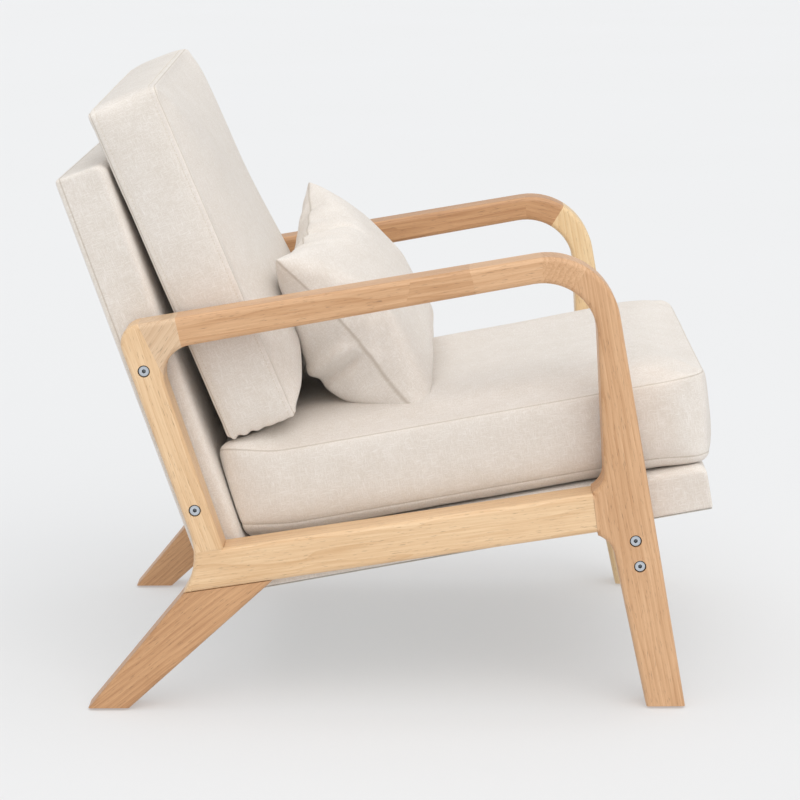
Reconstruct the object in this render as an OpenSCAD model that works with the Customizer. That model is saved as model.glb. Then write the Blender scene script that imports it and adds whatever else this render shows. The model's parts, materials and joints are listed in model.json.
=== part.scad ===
// Lounge armchair. Two solid-wood side frames carry a sprung seat base and an
// upholstered back panel, with a loose seat cushion, back cushion and lumbar pillow.
// X runs across the chair, -Y is forward and +Z is up. The origin is on the floor,
// under the middle of the whole chair. Left and right are the sitter's own.
// Side-view points are written [distance ahead of the rear foot's tip, height].

/* [Side frames] */
// Width over both side frames
chair_w = 660; // [620:5:700]
// Thickness of the side frame boards
board_t = 55; // [50:1:58]
// Thickness of the splayed rear legs
rear_leg_t = 49; // [44:1:50]
// Height of the side rails
rail_h = 52; // [48:1:56]
// Rise of the side rails towards the front, in degrees
rail_rise = 8.3; // [7.5:0.1:9]
// Outer radius of the bend from armrest to front leg
bend_r = 93; // [84:1:98]
// Inner radius of the same bend
bend_inner_r = 70; // [60:1:74]

/* [Upholstery] */
// Slope of the seat, in degrees
seat_slope = 10; // [9.5:0.1:10.5]
// Thickness of the sprung seat base
base_t = 60; // [58:1:62]
// Thickness of the seat cushion at its edges
seat_cushion_t = 120; // [100:1:124]
// Lean of the back panel from vertical, in degrees
panel_lean = 18.8; // [18.5:0.1:19.2]
// Thickness of the back panel
panel_t = 68; // [64:1:68]
// Lean of the back cushion from vertical, in degrees
cushion_lean = 22; // [21.5:0.1:22.5]
// Thickness of the back cushion
back_cushion_t = 100; // [85:1:104]
// Width of the seat and back cushions
cushion_w = 540; // [520:1:544]

/* [Lumbar pillow] */
// Length of the pillow
pillow_w = 430; // [380:5:460]
// Height of the pillow along its own lean
pillow_h = 270; // [240:5:275]
// Thickness of the pillow at its middle
pillow_t = 130; // [100:5:135]

/* [Hardware] */
// Diameter of the frame bolts
bolt_d = 8; // [6:1:8]
// Diameter of the bolt heads
bolt_head_d = 13; // [12:0.5:14]
// Diameter of the counterbores for the bolt heads
counterbore_d = 16; // [15.5:0.5:17]
// Diameter of the frame dowels
dowel_d = 10; // [8:1:10]

/* [Hidden] */

$fn = 48;
eps = 0.5;                  // overshoot of a cutter past the face that it opens
reach = 1200;               // longer than any side-view piece
arc_step = 6;               // degrees between the points of a rounded corner
fit = 0.1;                  // radial play of dowels and threads

wood = "burlywood";
inner_wood = "wheat";
steel = "silver";
cloth = "antiquewhite";
foam = "lemonchiffon";

// ---- Side view of a side frame ------------------------------------------------

// A line is [point, direction in degrees]; 0 points forward and 90 points up.
rail_top_line = [[400, 250.5], rail_rise];
rail_bottom_line = [[400, 250.5] + rail_h * dir(rail_rise - 90), rail_rise];
upright_rear_line = [[109.4, 350], 108.6];
upright_front_line = [[147.7, 350], 107.9];
rear_leg_rear_line = [[4.6, 0], 50.3];
rear_leg_front_line = [[58.6, 0], 42];
arm_top_line = [[129, 523], 9.1];
arm_bottom_line = [[150, 487.5], 9.8];
front_leg_front_line = [[704, 518], 99.7];
front_leg_upper_line = [[675, 490], 92.9];
front_leg_lower_line = [[704, 180], 101.9];

// Glue lines between the pieces of a side frame
block_line = [[103, 481], 115];
arm_line = [[138, 506], 101.6];
bend_centre = [608, 502];
bend_start_line = [bend_centre, 93];
bend_end_line = [bend_centre, 58];
rail_end_line = [[672.5, 264], 97.3];
mid_window_line = [[400, 400], 0];
mid_seat_line = [[450, 100], 90];
glue = 0.02;                // glue film between a rear leg and its rail

glide_h = 2.5;              // thickness of a foot glide
foot_line = [[0, glide_h], 0];

function dir(a) = [cos(a), sin(a)];
function unit(v) = v / norm(v);

// Point where two lines cross
function meet(a, b) =
    let (t = cross(b[0] - a[0], dir(b[1])) / cross(dir(a[1]), dir(b[1])))
    a[0] + t * dir(a[1]);

// A line moved to its own left by d
function shift(line, d) = [line[0] + d * dir(line[1] + 90), line[1]];

// Arc of radius r in the corner at q, between the sides towards p and s
function corner(p, q, s, r, step) =
    let (
        a = unit(p - q),
        b = unit(s - q),
        half = acos(a * b) / 2,
        centre = q + unit(a + b) * r / sin(half),
        start = q + a * r / tan(half) - centre,
        end = q + b * r / tan(half) - centre,
        a0 = atan2(start[1], start[0]),
        raw = atan2(end[1], end[0]) - a0,
        sweep = raw > 180 ? raw - 360 : raw < -180 ? raw + 360 : raw,
        n = ceil(abs(sweep) / step)
    )
    [for (i = [0:n]) centre + r * dir(a0 + sweep * i / n)];

// Outline through corners [point, radius]
function rounded(corners, step = arc_step) =
    let (n = len(corners))
    [
        for (i = [0:n - 1])
            let (
                p = corners[(i + n - 1) % n][0],
                q = corners[i][0],
                s = corners[(i + 1) % n][0],
                r = corners[i][1]
            )
            each (r == 0 ? [q] : corner(p, q, s, r, step))
    ];

frame_outline = rounded([
    [meet(upright_rear_line, arm_top_line), 26],
    [meet(arm_top_line, front_leg_front_line), bend_r],
    [meet(front_leg_front_line, foot_line), 2],
    [meet(front_leg_lower_line, foot_line), 2],
    [meet(front_leg_lower_line, rail_bottom_line), 35],
    [meet(rail_bottom_line, rear_leg_front_line), 6],
    [meet(rear_leg_front_line, foot_line), 2],
    [meet(rear_leg_rear_line, foot_line), 5],
    [meet(rear_leg_rear_line, upright_rear_line), 95],
]);

frame_window = rounded([
    [meet(upright_front_line, arm_bottom_line), 41],
    [meet(arm_bottom_line, front_leg_upper_line), bend_inner_r],
    [meet(front_leg_upper_line, rail_top_line), 30],
    [meet(rail_top_line, upright_front_line), 0],
]);

// ---- Places shared by the upholstery -------------------------------------------

base_corner = [831, 255.5]; // lower front corner of the seat base, side view
base_len = 606;             // length of the seat base along its slope
base_w = 544;               // width of the seat base and the back panel
skin = 1.5;                 // thickness of the upholstery cloth
overhang = 15;              // seat cushion ahead of the seat base
gap = 0.4;                  // play between parts that lie against each other

panel_foot = [164, 147];    // lower rear corner of the back panel, side view
panel_len = 578;            // length of the back panel along its lean
panel_rear_line = [panel_foot, 90 + panel_lean];
panel_front_line = [panel_foot + panel_t * dir(panel_lean), 90 + panel_lean];

cushion_foot = [197, 340];  // lower rear corner of the back cushion, side view
back_cushion_len = 470;     // length of the back cushion along its lean

base_up = dir(90 + seat_slope);
seat_bottom_line = [base_corner + (base_t + gap) * base_up, seat_slope];
seat_front_line = [base_corner + overhang * dir(seat_slope), 90 + seat_slope];
seat_rear_line = [panel_front_line[0] + 3 * dir(panel_lean), 90 + panel_lean];

// The chair's foremost and rearmost points set the origin's place
piping_d = 6;
lower_piping = meet(shift(seat_bottom_line, piping_d / 2), shift(seat_front_line, piping_d / 2));
foremost = lower_piping[0] + piping_d / 2;
rearmost = (panel_foot + panel_len * dir(90 + panel_lean))[0];
origin_ahead = (foremost + rearmost) / 2;

half_w = chair_w / 2;
inner_x = half_w - board_t; // inner face of a side frame

// ---- Placing helpers -----------------------------------------------------------

// Extrudes a side-view shape across X, centred at x
module across(x, t) {
    translate([x + t / 2, origin_ahead, 0])
        rotate([90, 0, -90])
            linear_extrude(t)
                children();
}

// Side-view point to chair coordinates
function place(x, p) = [x, origin_ahead - p[0], p[1]];

// Seat base coordinates: X across, Y rearwards from the front, Z out of the seat
module in_seat() {
    translate(place(0, base_corner))
        rotate([-seat_slope, 0, 0])
            children();
}

// Back panel coordinates: X across, -Y out of its front, Z up from its foot
module in_panel() {
    translate(place(0, panel_foot))
        rotate([-panel_lean, 0, 0])
            children();
}

// Back cushion coordinates, laid out like the back panel's
module in_back_cushion() {
    translate(place(0, cushion_foot))
        rotate([-cushion_lean, 0, 0])
            children();
}

// Box between two opposite corners
module block(low, high) {
    translate(low)
        cube(high - low);
}

// Straight rod along X from x0 to x1 through a side-view point
module rod_across(x0, x1, p, d) {
    translate(place(x0, p))
        rotate([0, 90, 0])
            cylinder(d = d, h = x1 - x0);
}

// ---- Side frame boards ---------------------------------------------------------

// The part of the side view on one side of a line: 1 is its left, -1 its right
module half_plane(line, side) {
    translate(line[0])
        rotate(line[1])
            translate([-reach, side > 0 ? 0 : -reach])
                square([2 * reach, reach]);
}

module frame_shape() {
    difference() {
        polygon(frame_outline);
        polygon(frame_window);
    }
}

// One board, cut from the frame's shape along the listed glue lines
module board(cuts, t) {
    across(-half_w + board_t / 2, t)
        intersection() {
            frame_shape();
            intersection_for(c = cuts)
                half_plane(c[0], c[1]);
        }
}

// Dowel pairs: [middle on the glue line, direction, spread along the line, spread across, length]
function middle(line, a, b) = (meet(line, a) + meet(line, b)) / 2;
bend_mid_r = 80;            // radius of the bend's middle, from bend_centre
DOWELS = [
    [middle(rail_top_line, upright_rear_line, upright_front_line), 108, 0, 13, 44],
    [middle(rail_bottom_line, rear_leg_rear_line, rear_leg_front_line), 46, 26, 0, 44],
    [middle(rail_end_line, rail_top_line, rail_bottom_line), rail_rise, 13, 0, 44],
    [block_line[0], block_line[1] - 90, 12, 0, 28],
    [arm_line[0], 9.5, 0, 13, 36],
    [bend_centre + bend_mid_r * dir(bend_start_line[1]), bend_start_line[1] - 90, 0, 13, 36],
    [bend_centre + bend_mid_r * dir(bend_end_line[1]), bend_end_line[1] - 90, 0, 13, 30],
];

// The two dowels of one joint, in the right side frame
module dowel_pair(d, radius, extra) {
    for (s = [-1, 1]) {
        along = d[0] + s * d[2] * dir(d[1] + 90);
        translate(place(-half_w + board_t / 2 + s * d[3], along))
            rotate([90 - d[1], 0, 0])
                cylinder(r = radius, h = d[4] + extra, center = true);
    }
}

module dowel_bores(ids) {
    for (i = ids)
        dowel_pair(DOWELS[i], dowel_d / 2 + fit, 2);
}

// Bolt places in the side view
upright_bolts = [[93, 455], [154, 271]];
leg_bolts = [[725, 227], [731, 193]];
counterbore_depth = 8;

module bolt_bores(points) {
    for (p = points) {
        rod_across(-half_w - eps, -inner_x + eps, p, bolt_d + 1);
        rod_across(-half_w - eps, -half_w + counterbore_depth, p, counterbore_d);
    }
}

front_glide = [766, 0];
rear_glide = [35, 0];
glide_pin_d = 2.5;

module glide_bore(p) {
    translate(place(-half_w + board_t / 2, p))
        cylinder(d = glide_pin_d + 2 * fit, h = 18);
}

module rear_leg() {
    color(wood)
        difference() {
            board([[shift(rail_bottom_line, -glue), -1], [mid_seat_line, 1]], rear_leg_t);
            dowel_bores([1]);
            glide_bore(rear_glide);
        }
}

module side_rail() {
    color(wood)
        difference() {
            board([[rail_bottom_line, 1], [rail_top_line, -1], [rail_end_line, 1]], board_t);
            dowel_bores([0, 1, 2]);
        }
}

module rear_upright() {
    color(wood)
        difference() {
            board([[rail_top_line, 1], [block_line, 1]], board_t);
            dowel_bores([0, 3]);
            bolt_bores(upright_bolts);
        }
}

module corner_block() {
    color(wood)
        difference() {
            board([[mid_window_line, 1], [block_line, -1], [arm_line, 1]], board_t);
            dowel_bores([3, 4]);
        }
}

module armrest() {
    color(wood)
        difference() {
            board([[mid_window_line, 1], [arm_line, -1], [bend_start_line, 1]], board_t);
            dowel_bores([4, 5]);
        }
}

module arm_bend_block() {
    color(wood)
        difference() {
            board([[bend_start_line, -1], [bend_end_line, 1]], board_t);
            dowel_bores([5, 6]);
        }
}

module front_leg() {
    color(wood)
        difference() {
            board([[bend_end_line, -1], [rail_end_line, -1]], board_t);
            dowel_bores([2, 6]);
            bolt_bores(leg_bolts);
            glide_bore(front_glide);
        }
}

// The boards are drawn for the right side frame and mirrored for the left one
module on_left() {
    mirror([1, 0, 0])
        children();
}

module on_both() {
    children();
    on_left()
        children();
}

module rear_leg_left() on_left() rear_leg();
module rear_leg_right() rear_leg();
module side_rail_left() on_left() side_rail();
module side_rail_right() side_rail();
module rear_upright_left() on_left() rear_upright();
module rear_upright_right() rear_upright();
module corner_block_left() on_left() corner_block();
module corner_block_right() corner_block();
module armrest_left() on_left() armrest();
module armrest_right() armrest();
module arm_bend_block_left() on_left() arm_bend_block();
module arm_bend_block_right() arm_bend_block();
module front_leg_left() on_left() front_leg();
module front_leg_right() front_leg();

module frame_dowels() {
    color(inner_wood)
        on_both()
            for (d = DOWELS)
                dowel_pair(d, dowel_d / 2, 0);
}

// ---- Hardware ------------------------------------------------------------------

washer_t = 1.5;
head_h = 4.5;
bolt_len = 76;
insert_d = 12;
insert_len = 24;
nut_d = 12;
nut_len = 24;
seat_x = -half_w + counterbore_depth - washer_t;    // face under a bolt's head
shank_end_x = seat_x + bolt_len;
frame_bolt_points = concat(upright_bolts, leg_bolts);

// Hexagon socket of a bolt head, cut from its outer face
module hex_socket(x, p, flats, depth) {
    translate(place(x, p))
        rotate([0, 90, 0])
            cylinder(d = flats / cos(30), h = depth, $fn = 6);
}

module frame_bolts() {
    color(steel)
        on_both()
            for (p = frame_bolt_points)
                difference() {
                    union() {
                        rod_across(seat_x - head_h, seat_x, p, bolt_head_d);
                        rod_across(seat_x - eps, shank_end_x, p, bolt_d);
                    }
                    hex_socket(seat_x - head_h - eps, p, 5, 3.5);
                }
}

module bolt_washers() {
    color(steel)
        on_both()
            for (p = frame_bolt_points)
                difference() {
                    rod_across(seat_x, seat_x + washer_t, p, counterbore_d - 0.6);
                    rod_across(seat_x - eps, seat_x + washer_t + eps, p, bolt_d + 2 * fit);
                }
}

// Bolts that tie the seat base's rear rail to the back panel's bottom rail
link_x = 120;               // distance of a link bolt from the chair's middle
link_h = 26;                // height of a link bolt above the seat base's underside
stile_w = 36;
frame_depth = 44;           // depth of the back frame behind its foam
link_line = [base_corner + link_h * base_up, seat_slope];
link_wood_y = seat_y(meet(link_line, shift(panel_front_line, panel_t - skin - frame_depth)));
link_insert_y = link_wood_y + 2;
link_insert_len = 20;

// How far back a side-view point lies, in seat coordinates
function seat_y(p) = (base_corner - p) * dir(seat_slope);

// Rods along the two link bolts, between two places in seat coordinates
module link_rods(low, high, d) {
    in_seat()
        for (x = [-link_x, link_x])
            translate([x, low, link_h])
                rotate([-90, 0, 0])
                    cylinder(d = d, h = high - low);
}

// Threaded sleeve along X with its mouth at x
module side_insert(x, p) {
    difference() {
        rod_across(x, x + insert_len, p, insert_d);
        rod_across(x - eps, x + insert_len + eps, p, bolt_d + 2 * fit);
    }
}

module link_inserts() {
    difference() {
        link_rods(link_insert_y, link_insert_y + link_insert_len, insert_d);
        link_rods(link_insert_y - eps, link_insert_y + link_insert_len + eps, bolt_d + 2 * fit);
    }
}

panel_half_w = base_w / 2;
wood_x = panel_half_w - skin;       // outer face of the hidden wooden frames

module threaded_inserts() {
    color("goldenrod") {
        on_both()
            for (p = upright_bolts)
                side_insert(-wood_x + 0.5, p);
        link_inserts();
    }
}

nut_x = -inner_x + 28;

module barrel_nuts() {
    color(steel)
        on_both()
            for (p = leg_bolts)
                difference() {
                    translate(place(nut_x, p))
                        rotate([90 - seat_slope, 0, 0])
                            cylinder(d = nut_d, h = nut_len, center = true);
                    rod_across(nut_x - nut_d, nut_x + nut_d, p, bolt_d + 2 * fit);
                }
}

module foot_glides() {
    color("dimgray")
        on_both()
            for (p = [front_glide, rear_glide])
                translate(place(-half_w + board_t / 2, p)) {
                    cylinder(d = 20, h = glide_h);
                    cylinder(d = glide_pin_d, h = 16);
                }
}

// ---- Front stretcher -----------------------------------------------------------

stretcher_t = 30;
stretcher_top = -0.5;       // in seat coordinates, just under the seat base
stretcher_h = 58;
stretcher_y = 94.3;
screw_xs = [-160, 0, 160];
screw_d = 5;
screw_head_d = 10;
screw_sink = 14;            // depth of the bore that hides a screw's head
screw_reach = 18;           // length of a screw above the stretcher

module front_stretcher() {
    color(wood)
        difference() {
            in_seat()
                block([-inner_x + gap, stretcher_y, stretcher_top - stretcher_h],
                      [inner_x - gap, stretcher_y + stretcher_t, stretcher_top]);
            on_both()
                for (p = leg_bolts) {
                    rod_across(-inner_x - eps, shank_end_x + 4, p, bolt_d + 1);
                    translate(place(nut_x, p))
                        rotate([90 - seat_slope, 0, 0])
                            cylinder(d = nut_d + 2 * fit, h = stretcher_t + 4, center = true);
                }
            in_seat()
                stretcher_screw_bores(stretcher_top + eps);
        }
}

// Bores of the screws that hold the seat base down, in seat coordinates
module stretcher_screw_bores(top) {
    low = stretcher_top - stretcher_h;
    for (x = screw_xs)
        translate([x, stretcher_y + stretcher_t / 2, low - eps]) {
            cylinder(d = screw_d + 2 * fit, h = top - low + eps);
            cylinder(d = screw_head_d + 1, h = screw_sink + eps);
        }
}

module stretcher_screws() {
    low = stretcher_top - stretcher_h + screw_sink;
    color(steel)
        in_seat()
            for (x = screw_xs)
                translate([x, stretcher_y + stretcher_t / 2, low - 4])
                    difference() {
                        union() {
                            cylinder(d = screw_head_d, h = 4);
                            cylinder(d = screw_d, h = stretcher_h - screw_sink + screw_reach + 4);
                        }
                        translate([0, 0, -eps])
                            cylinder(d = 4 / cos(30), h = 2.5, $fn = 6);
                    }
}

// ---- Seat base, in seat coordinates --------------------------------------------

rail_t = 28;                // thickness of the hidden seat rails
rail_top = 42;
spring_z = 44.2;
wire_d = 3.6;
pad_z = 46.2;
deck_z = 49.2;
deck_top = base_t - skin;
base_front = skin;
base_rear = base_len - skin;
spring_xs = [-180, -90, 0, 90, 180];

module seat_front_rail() {
    color(inner_wood)
        in_seat()
            block([-wood_x, base_front, skin], [wood_x, base_front + rail_t, rail_top]);
}

module seat_cross_rail() {
    color(inner_wood)
        in_seat()
            difference() {
                block([-wood_x + rail_t, stretcher_y - 6, skin],
                      [wood_x - rail_t, stretcher_y + stretcher_t + 6, skin + 24]);
                for (x = screw_xs)
                    translate([x, stretcher_y + stretcher_t / 2, 0])
                        cylinder(d = screw_d + 2 * fit, h = screw_reach + 2);
            }
}

module seat_rear_rail() {
    color(inner_wood)
        difference() {
            in_seat()
                block([-wood_x, base_rear - rail_t, skin], [wood_x, base_rear, rail_top]);
            link_rods(base_rear - rail_t - eps, base_len, bolt_d + 1);
        }
}

module seat_side_rail() {
    in_seat()
        block([-wood_x, base_front + rail_t, skin],
              [-wood_x + rail_t, base_rear - rail_t, rail_top]);
}

module seat_right_rail() color(inner_wood) seat_side_rail();
module seat_left_rail() color(inner_wood) on_left() seat_side_rail();

brace = 60;                 // leg of a corner brace

module seat_corner_braces() {
    color(inner_wood)
        in_seat()
            on_both()
                for (end = [0, 1])
                    translate([-wood_x + rail_t, end == 0 ? base_front + rail_t : base_rear - rail_t,
                               end == 0 ? 28 : 8])
                        mirror([0, end, 0])
                            linear_extrude(12)
                                polygon([[0, 0], [brace, 0], [0, brace]]);
}

// Round tube along a flat path: one ring of corners a point, joined by triangles
module tube(path, d, sides, closed) {
    n = len(path);
    function before(i) = closed ? path[(i + n - 1) % n] : path[max(i - 1, 0)];
    function after(i) = closed ? path[(i + 1) % n] : path[min(i + 1, n - 1)];
    points = [
        for (i = [0:n - 1])
            let (t = unit(after(i) - before(i)))
            for (k = [0:sides - 1])
                let (a = 360 * k / sides)
                [path[i][0] - t[1] * cos(a) * d / 2, path[i][1] + t[0] * cos(a) * d / 2, sin(a) * d / 2]
    ];
    spans = closed ? n : n - 1;
    walls = [
        for (i = [0:spans - 1], k = [0:sides - 1])
            let (j = (i + 1) % n, m = (k + 1) % sides)
            each [
                [i * sides + k, j * sides + k, j * sides + m],
                [i * sides + k, j * sides + m, i * sides + m],
            ]
    ];
    caps = closed ? [] : [
        [for (k = [0:sides - 1]) k],
        [for (k = [0:sides - 1]) n * sides - 1 - k],
    ];
    polyhedron(points, concat(walls, caps));
}

spring_front = base_front + rail_t - 10;
spring_rear = base_rear - rail_t + 10;
spring_loops = 9;
spring_half_w = 24;
loop_points = 8;            // points along one full loop of wire

// One zigzag spring: a rounded wave from the front rail to the rear rail
function spring_path() =
    let (n = spring_loops * loop_points)
    [
        for (i = [0:n])
            let (a = 360 * i / loop_points)
            [
                spring_half_w * sin(a),
                spring_front + (spring_rear - spring_front) * i / n - 7 * sin(2 * a),
            ]
    ];

module seat_springs() {
    color(steel)
        in_seat()
            for (x = spring_xs)
                translate([x, 0, spring_z])
                    tube(spring_path(), wire_d, 6, false);
}

module spring_clips() {
    color(steel)
        in_seat()
            for (x = spring_xs, y = [spring_front, spring_rear])
                translate([x, y, rail_top]) {
                    inward = y == spring_front ? 1 : -1;
                    block([-9, -9, 0], [9, 9, 0.3]);
                    block([-9, -9 * inward - 1, 0], [9, -9 * inward + 1, 5]);
                }
}

module spring_pad() {
    color("gray")
        in_seat()
            block([-wood_x, base_front, pad_z + 1], [wood_x, base_rear, deck_z - 0.2]);
}

module seat_deck_foam() {
    color(foam)
        in_seat()
            block([-wood_x, base_front, deck_z], [wood_x, base_rear, deck_top]);
}

module seat_base_cover() {
    color(cloth)
        difference() {
            in_seat()
                difference() {
                    block([-panel_half_w, 0, 0], [panel_half_w, base_len, base_t]);
                    block([-wood_x, base_front, -eps], [wood_x, base_rear, deck_top]);
                }
            link_rods(base_rear - eps, base_len + eps, bolt_d + 2);
        }
}

module dust_cover() {
    color("gainsboro")
        in_seat()
            difference() {
                block([-wood_x, base_front, 0], [wood_x, base_rear, 1]);
                for (x = screw_xs)
                    translate([x, stretcher_y + stretcher_t / 2, -eps])
                        cylinder(d = screw_d + 1, h = 3);
            }
}

// ---- Back panel, in panel coordinates ------------------------------------------

back_rail_h = 48;
wood_low = skin;
wood_high = panel_len - skin;
frame_front = -skin - frame_depth;
strap_w = 50;
strap_t = 1.5;

module back_bottom_rail() {
    color(inner_wood)
        difference() {
            in_panel()
                block([-wood_x + stile_w, frame_front, wood_low],
                      [wood_x - stile_w, -skin, wood_low + back_rail_h]);
            link_rods(link_wood_y - 10, link_insert_y + link_insert_len + 1, insert_d + 2 * fit);
        }
}

module back_top_rail() {
    color(inner_wood)
        in_panel()
            block([-wood_x + stile_w, frame_front, wood_high - back_rail_h],
                  [wood_x - stile_w, -skin, wood_high]);
}

module back_stile() {
    difference() {
        in_panel()
            block([-wood_x, frame_front, wood_low], [-wood_x + stile_w, -skin, wood_high]);
        for (p = upright_bolts) {
            rod_across(-wood_x - eps, shank_end_x + 4, p, bolt_d + 1);
            rod_across(-wood_x - eps, -wood_x + 0.5 + insert_len + 1, p, insert_d + 2 * fit);
        }
    }
}

module back_right_stile() color(inner_wood) back_stile();
module back_left_stile() color(inner_wood) on_left() back_stile();

// Elastic straps: four across the frame, and three upright ones over them
module back_webbing() {
    color("gray")
        in_panel() {
            for (i = [0:3])
                translate([0, frame_front, 120 + 105 * i])
                    block([-wood_x + 6, -strap_t, -strap_w / 2], [wood_x - 6, 0, strap_w / 2]);
            for (x = [-150, 0, 150])
                block([x - strap_w / 2, frame_front - 2 * strap_t, wood_low + 6],
                      [x + strap_w / 2, frame_front - strap_t, wood_high - 6]);
        }
}

module back_foam() {
    color(foam)
        difference() {
            in_panel()
                block([-wood_x, -panel_t + skin, wood_low],
                      [wood_x, frame_front - 2 * strap_t - fit, wood_high]);
            link_rods(base_len, link_insert_y, bolt_d + 3);
        }
}

module back_front_cover() {
    color(cloth)
        difference() {
            in_panel()
                difference() {
                    block([-panel_half_w, -panel_t, 0], [panel_half_w, 0, panel_len]);
                    block([-wood_x, -panel_t + skin, wood_low], [wood_x, eps, wood_high]);
                }
            on_both()
                for (p = upright_bolts)
                    rod_across(-panel_half_w - eps, -wood_x + eps, p, bolt_d + 2);
            link_rods(base_len, link_wood_y - 8, bolt_d + 2);
        }
}

module back_rear_cover() {
    color(cloth)
        in_panel()
            block([-wood_x, -skin, wood_low], [wood_x, 0, wood_high]);
}

// ---- Links between the seat base and the back panel ----------------------------

module link_bolts() {
    head_y = base_rear - rail_t;
    color(steel)
        difference() {
            union() {
                link_rods(head_y, link_insert_y + link_insert_len - 1, bolt_d);
                link_rods(head_y - head_h, head_y, bolt_head_d);
            }
            in_seat()
                for (x = [-link_x, link_x])
                    translate([x, head_y - head_h - eps, link_h])
                        rotate([-90, 0, 0])
                            cylinder(d = 5 / cos(30), h = 3.5, $fn = 6);
        }
}

// Tapered wooden pads that fill the space between the two upholstered faces
module link_wedges() {
    color(inner_wood)
        difference() {
            for (x = [-link_x, link_x])
                across(x, 44)
                    polygon(wedge_outline);
            link_rods(base_len - eps, link_wood_y, bolt_d + 1);
        }
}

base_rear_line = [base_corner - base_len * dir(seat_slope), 90 + seat_slope];
wedge_front_line = [base_rear_line[0] - gap * dir(seat_slope), 90 + seat_slope];
wedge_rear_line = [panel_front_line[0] + gap * dir(panel_lean), 90 + panel_lean];
wedge_low_line = [base_corner + 21 * base_up, seat_slope];
wedge_high_line = [base_corner + 56 * base_up, seat_slope];
wedge_outline = [
    meet(wedge_low_line, wedge_front_line),
    meet(wedge_high_line, wedge_front_line),
    meet(wedge_high_line, wedge_rear_line),
    meet(wedge_low_line, wedge_rear_line),
];

// ---- Seat cushion --------------------------------------------------------------

panel_cloth = 2;            // thickness of a cushion's top and bottom panels
piping_room = piping_d + fit;       // boxing stands this far inside the piping
zip_w = 22;
zip_t = 1.2;
zip_len = 420;

// A slice of the seat cushion between two heights above its bottom face
module seat_cushion_slice(low, high, inset) {
    bottom = shift(seat_bottom_line, low);
    top = shift(seat_bottom_line, high);
    front = shift(seat_front_line, inset);
    rear = shift(seat_rear_line, -inset);
    across(0, cushion_w - 2 * inset)
        polygon([meet(bottom, front), meet(top, front), meet(top, rear), meet(bottom, rear)]);
}

module seat_cushion_top() {
    color(cloth)
        seat_cushion_slice(seat_cushion_t - panel_cloth, seat_cushion_t, piping_room);
}

module seat_cushion_bottom() {
    color(cloth)
        seat_cushion_slice(0, panel_cloth, piping_room);
}

module seat_cushion_boxing() {
    low = panel_cloth;
    high = seat_cushion_t - panel_cloth;
    color(cloth)
        difference() {
            seat_cushion_slice(low, high, piping_room);
            seat_cushion_slice(low - eps, high + eps, piping_room + skin);
        }
}

module seat_cushion_foam() {
    color(foam)
        seat_cushion_slice(panel_cloth + fit, seat_cushion_t - panel_cloth - fit,
                           piping_room + skin + fit);
}

// Closed loop of piping round a flat rectangle, centred on its edges
module piping_loop(x0, x1, y0, y1) {
    e = piping_d / 2;
    r = e + 0.2;            // a tight turn, outside the square corners of the boxing
    path = rounded([
        [[x0 + e, y0 + e], r],
        [[x1 - e, y0 + e], r],
        [[x1 - e, y1 - e], r],
        [[x0 + e, y1 - e], r],
    ], 15);
    tube(path, piping_d, 8, true);
}

module seat_cushion_piping() {
    w = cushion_w / 2;
    color(cloth)
        for (h = [piping_d / 2, seat_cushion_t - piping_d / 2]) {
            level = shift(seat_bottom_line, h);
            front = meet(level, seat_front_line);
            length = norm(meet(level, seat_rear_line) - front);
            translate(place(0, front))
                rotate([-seat_slope, 0, 0])
                    piping_loop(-w, w, 0, length);
        }
}

module seat_cushion_zip() {
    low = shift(seat_bottom_line, 45);
    high = shift(seat_bottom_line, 45 + zip_w);
    face = shift(seat_rear_line, -piping_room + fit);
    back = shift(face, zip_t);
    color("tan") {
        across(0, zip_len)
            polygon([meet(low, face), meet(high, face), meet(high, back), meet(low, back)]);
        across(zip_len / 2 - 12, 8)
            polygon([
                meet(shift(low, 6), back),
                meet(shift(high, -6), back),
                meet(shift(high, -6), shift(back, 2)),
                meet(shift(low, 6), shift(back, 2)),
            ]);
    }
}

// ---- Back cushion, in its own coordinates --------------------------------------

module back_cushion_slice(front, rear, inset) {
    w = cushion_w / 2 - inset;
    in_back_cushion()
        block([-w, -back_cushion_t + front, inset], [w, -back_cushion_t + rear,
               back_cushion_len - inset]);
}

module back_cushion_front() {
    color(cloth)
        back_cushion_slice(0, panel_cloth, piping_room);
}

module back_cushion_rear() {
    color(cloth)
        back_cushion_slice(back_cushion_t - panel_cloth, back_cushion_t, piping_room);
}

module back_cushion_boxing() {
    front = panel_cloth;
    rear = back_cushion_t - panel_cloth;
    color(cloth)
        difference() {
            back_cushion_slice(front, rear, piping_room);
            back_cushion_slice(front - eps, rear + eps, piping_room + skin);
        }
}

module back_cushion_fill() {
    color(foam)
        back_cushion_slice(panel_cloth + fit, back_cushion_t - panel_cloth - fit,
                           piping_room + skin + fit);
}

module back_cushion_piping() {
    w = cushion_w / 2;
    color(cloth)
        in_back_cushion()
            for (y = [piping_d / 2, back_cushion_t - piping_d / 2])
                translate([0, -y, 0])
                    rotate([90, 0, 0])
                        piping_loop(-w, w, 0, back_cushion_len);
}

module back_cushion_zip() {
    y = -back_cushion_t / 2;
    top = piping_room - fit;
    color("tan")
        in_back_cushion() {
            block([-zip_len / 2, y - zip_w / 2, top - zip_t], [zip_len / 2, y + zip_w / 2, top]);
            block([zip_len / 2 - 16, y - 5, top - zip_t - 2],
                  [zip_len / 2 - 8, y + 5, top - zip_t]);
        }
}

// ---- Lumbar pillow -------------------------------------------------------------

pillow_centre = [346.5, 479.5];
pillow_lean = 38;
pillow_rim = 6;             // how far the pillow's thin rim is cut back

module in_pillow() {
    translate(place(0, pillow_centre))
        rotate([-pillow_lean, 0, 0])
            children();
}

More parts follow.
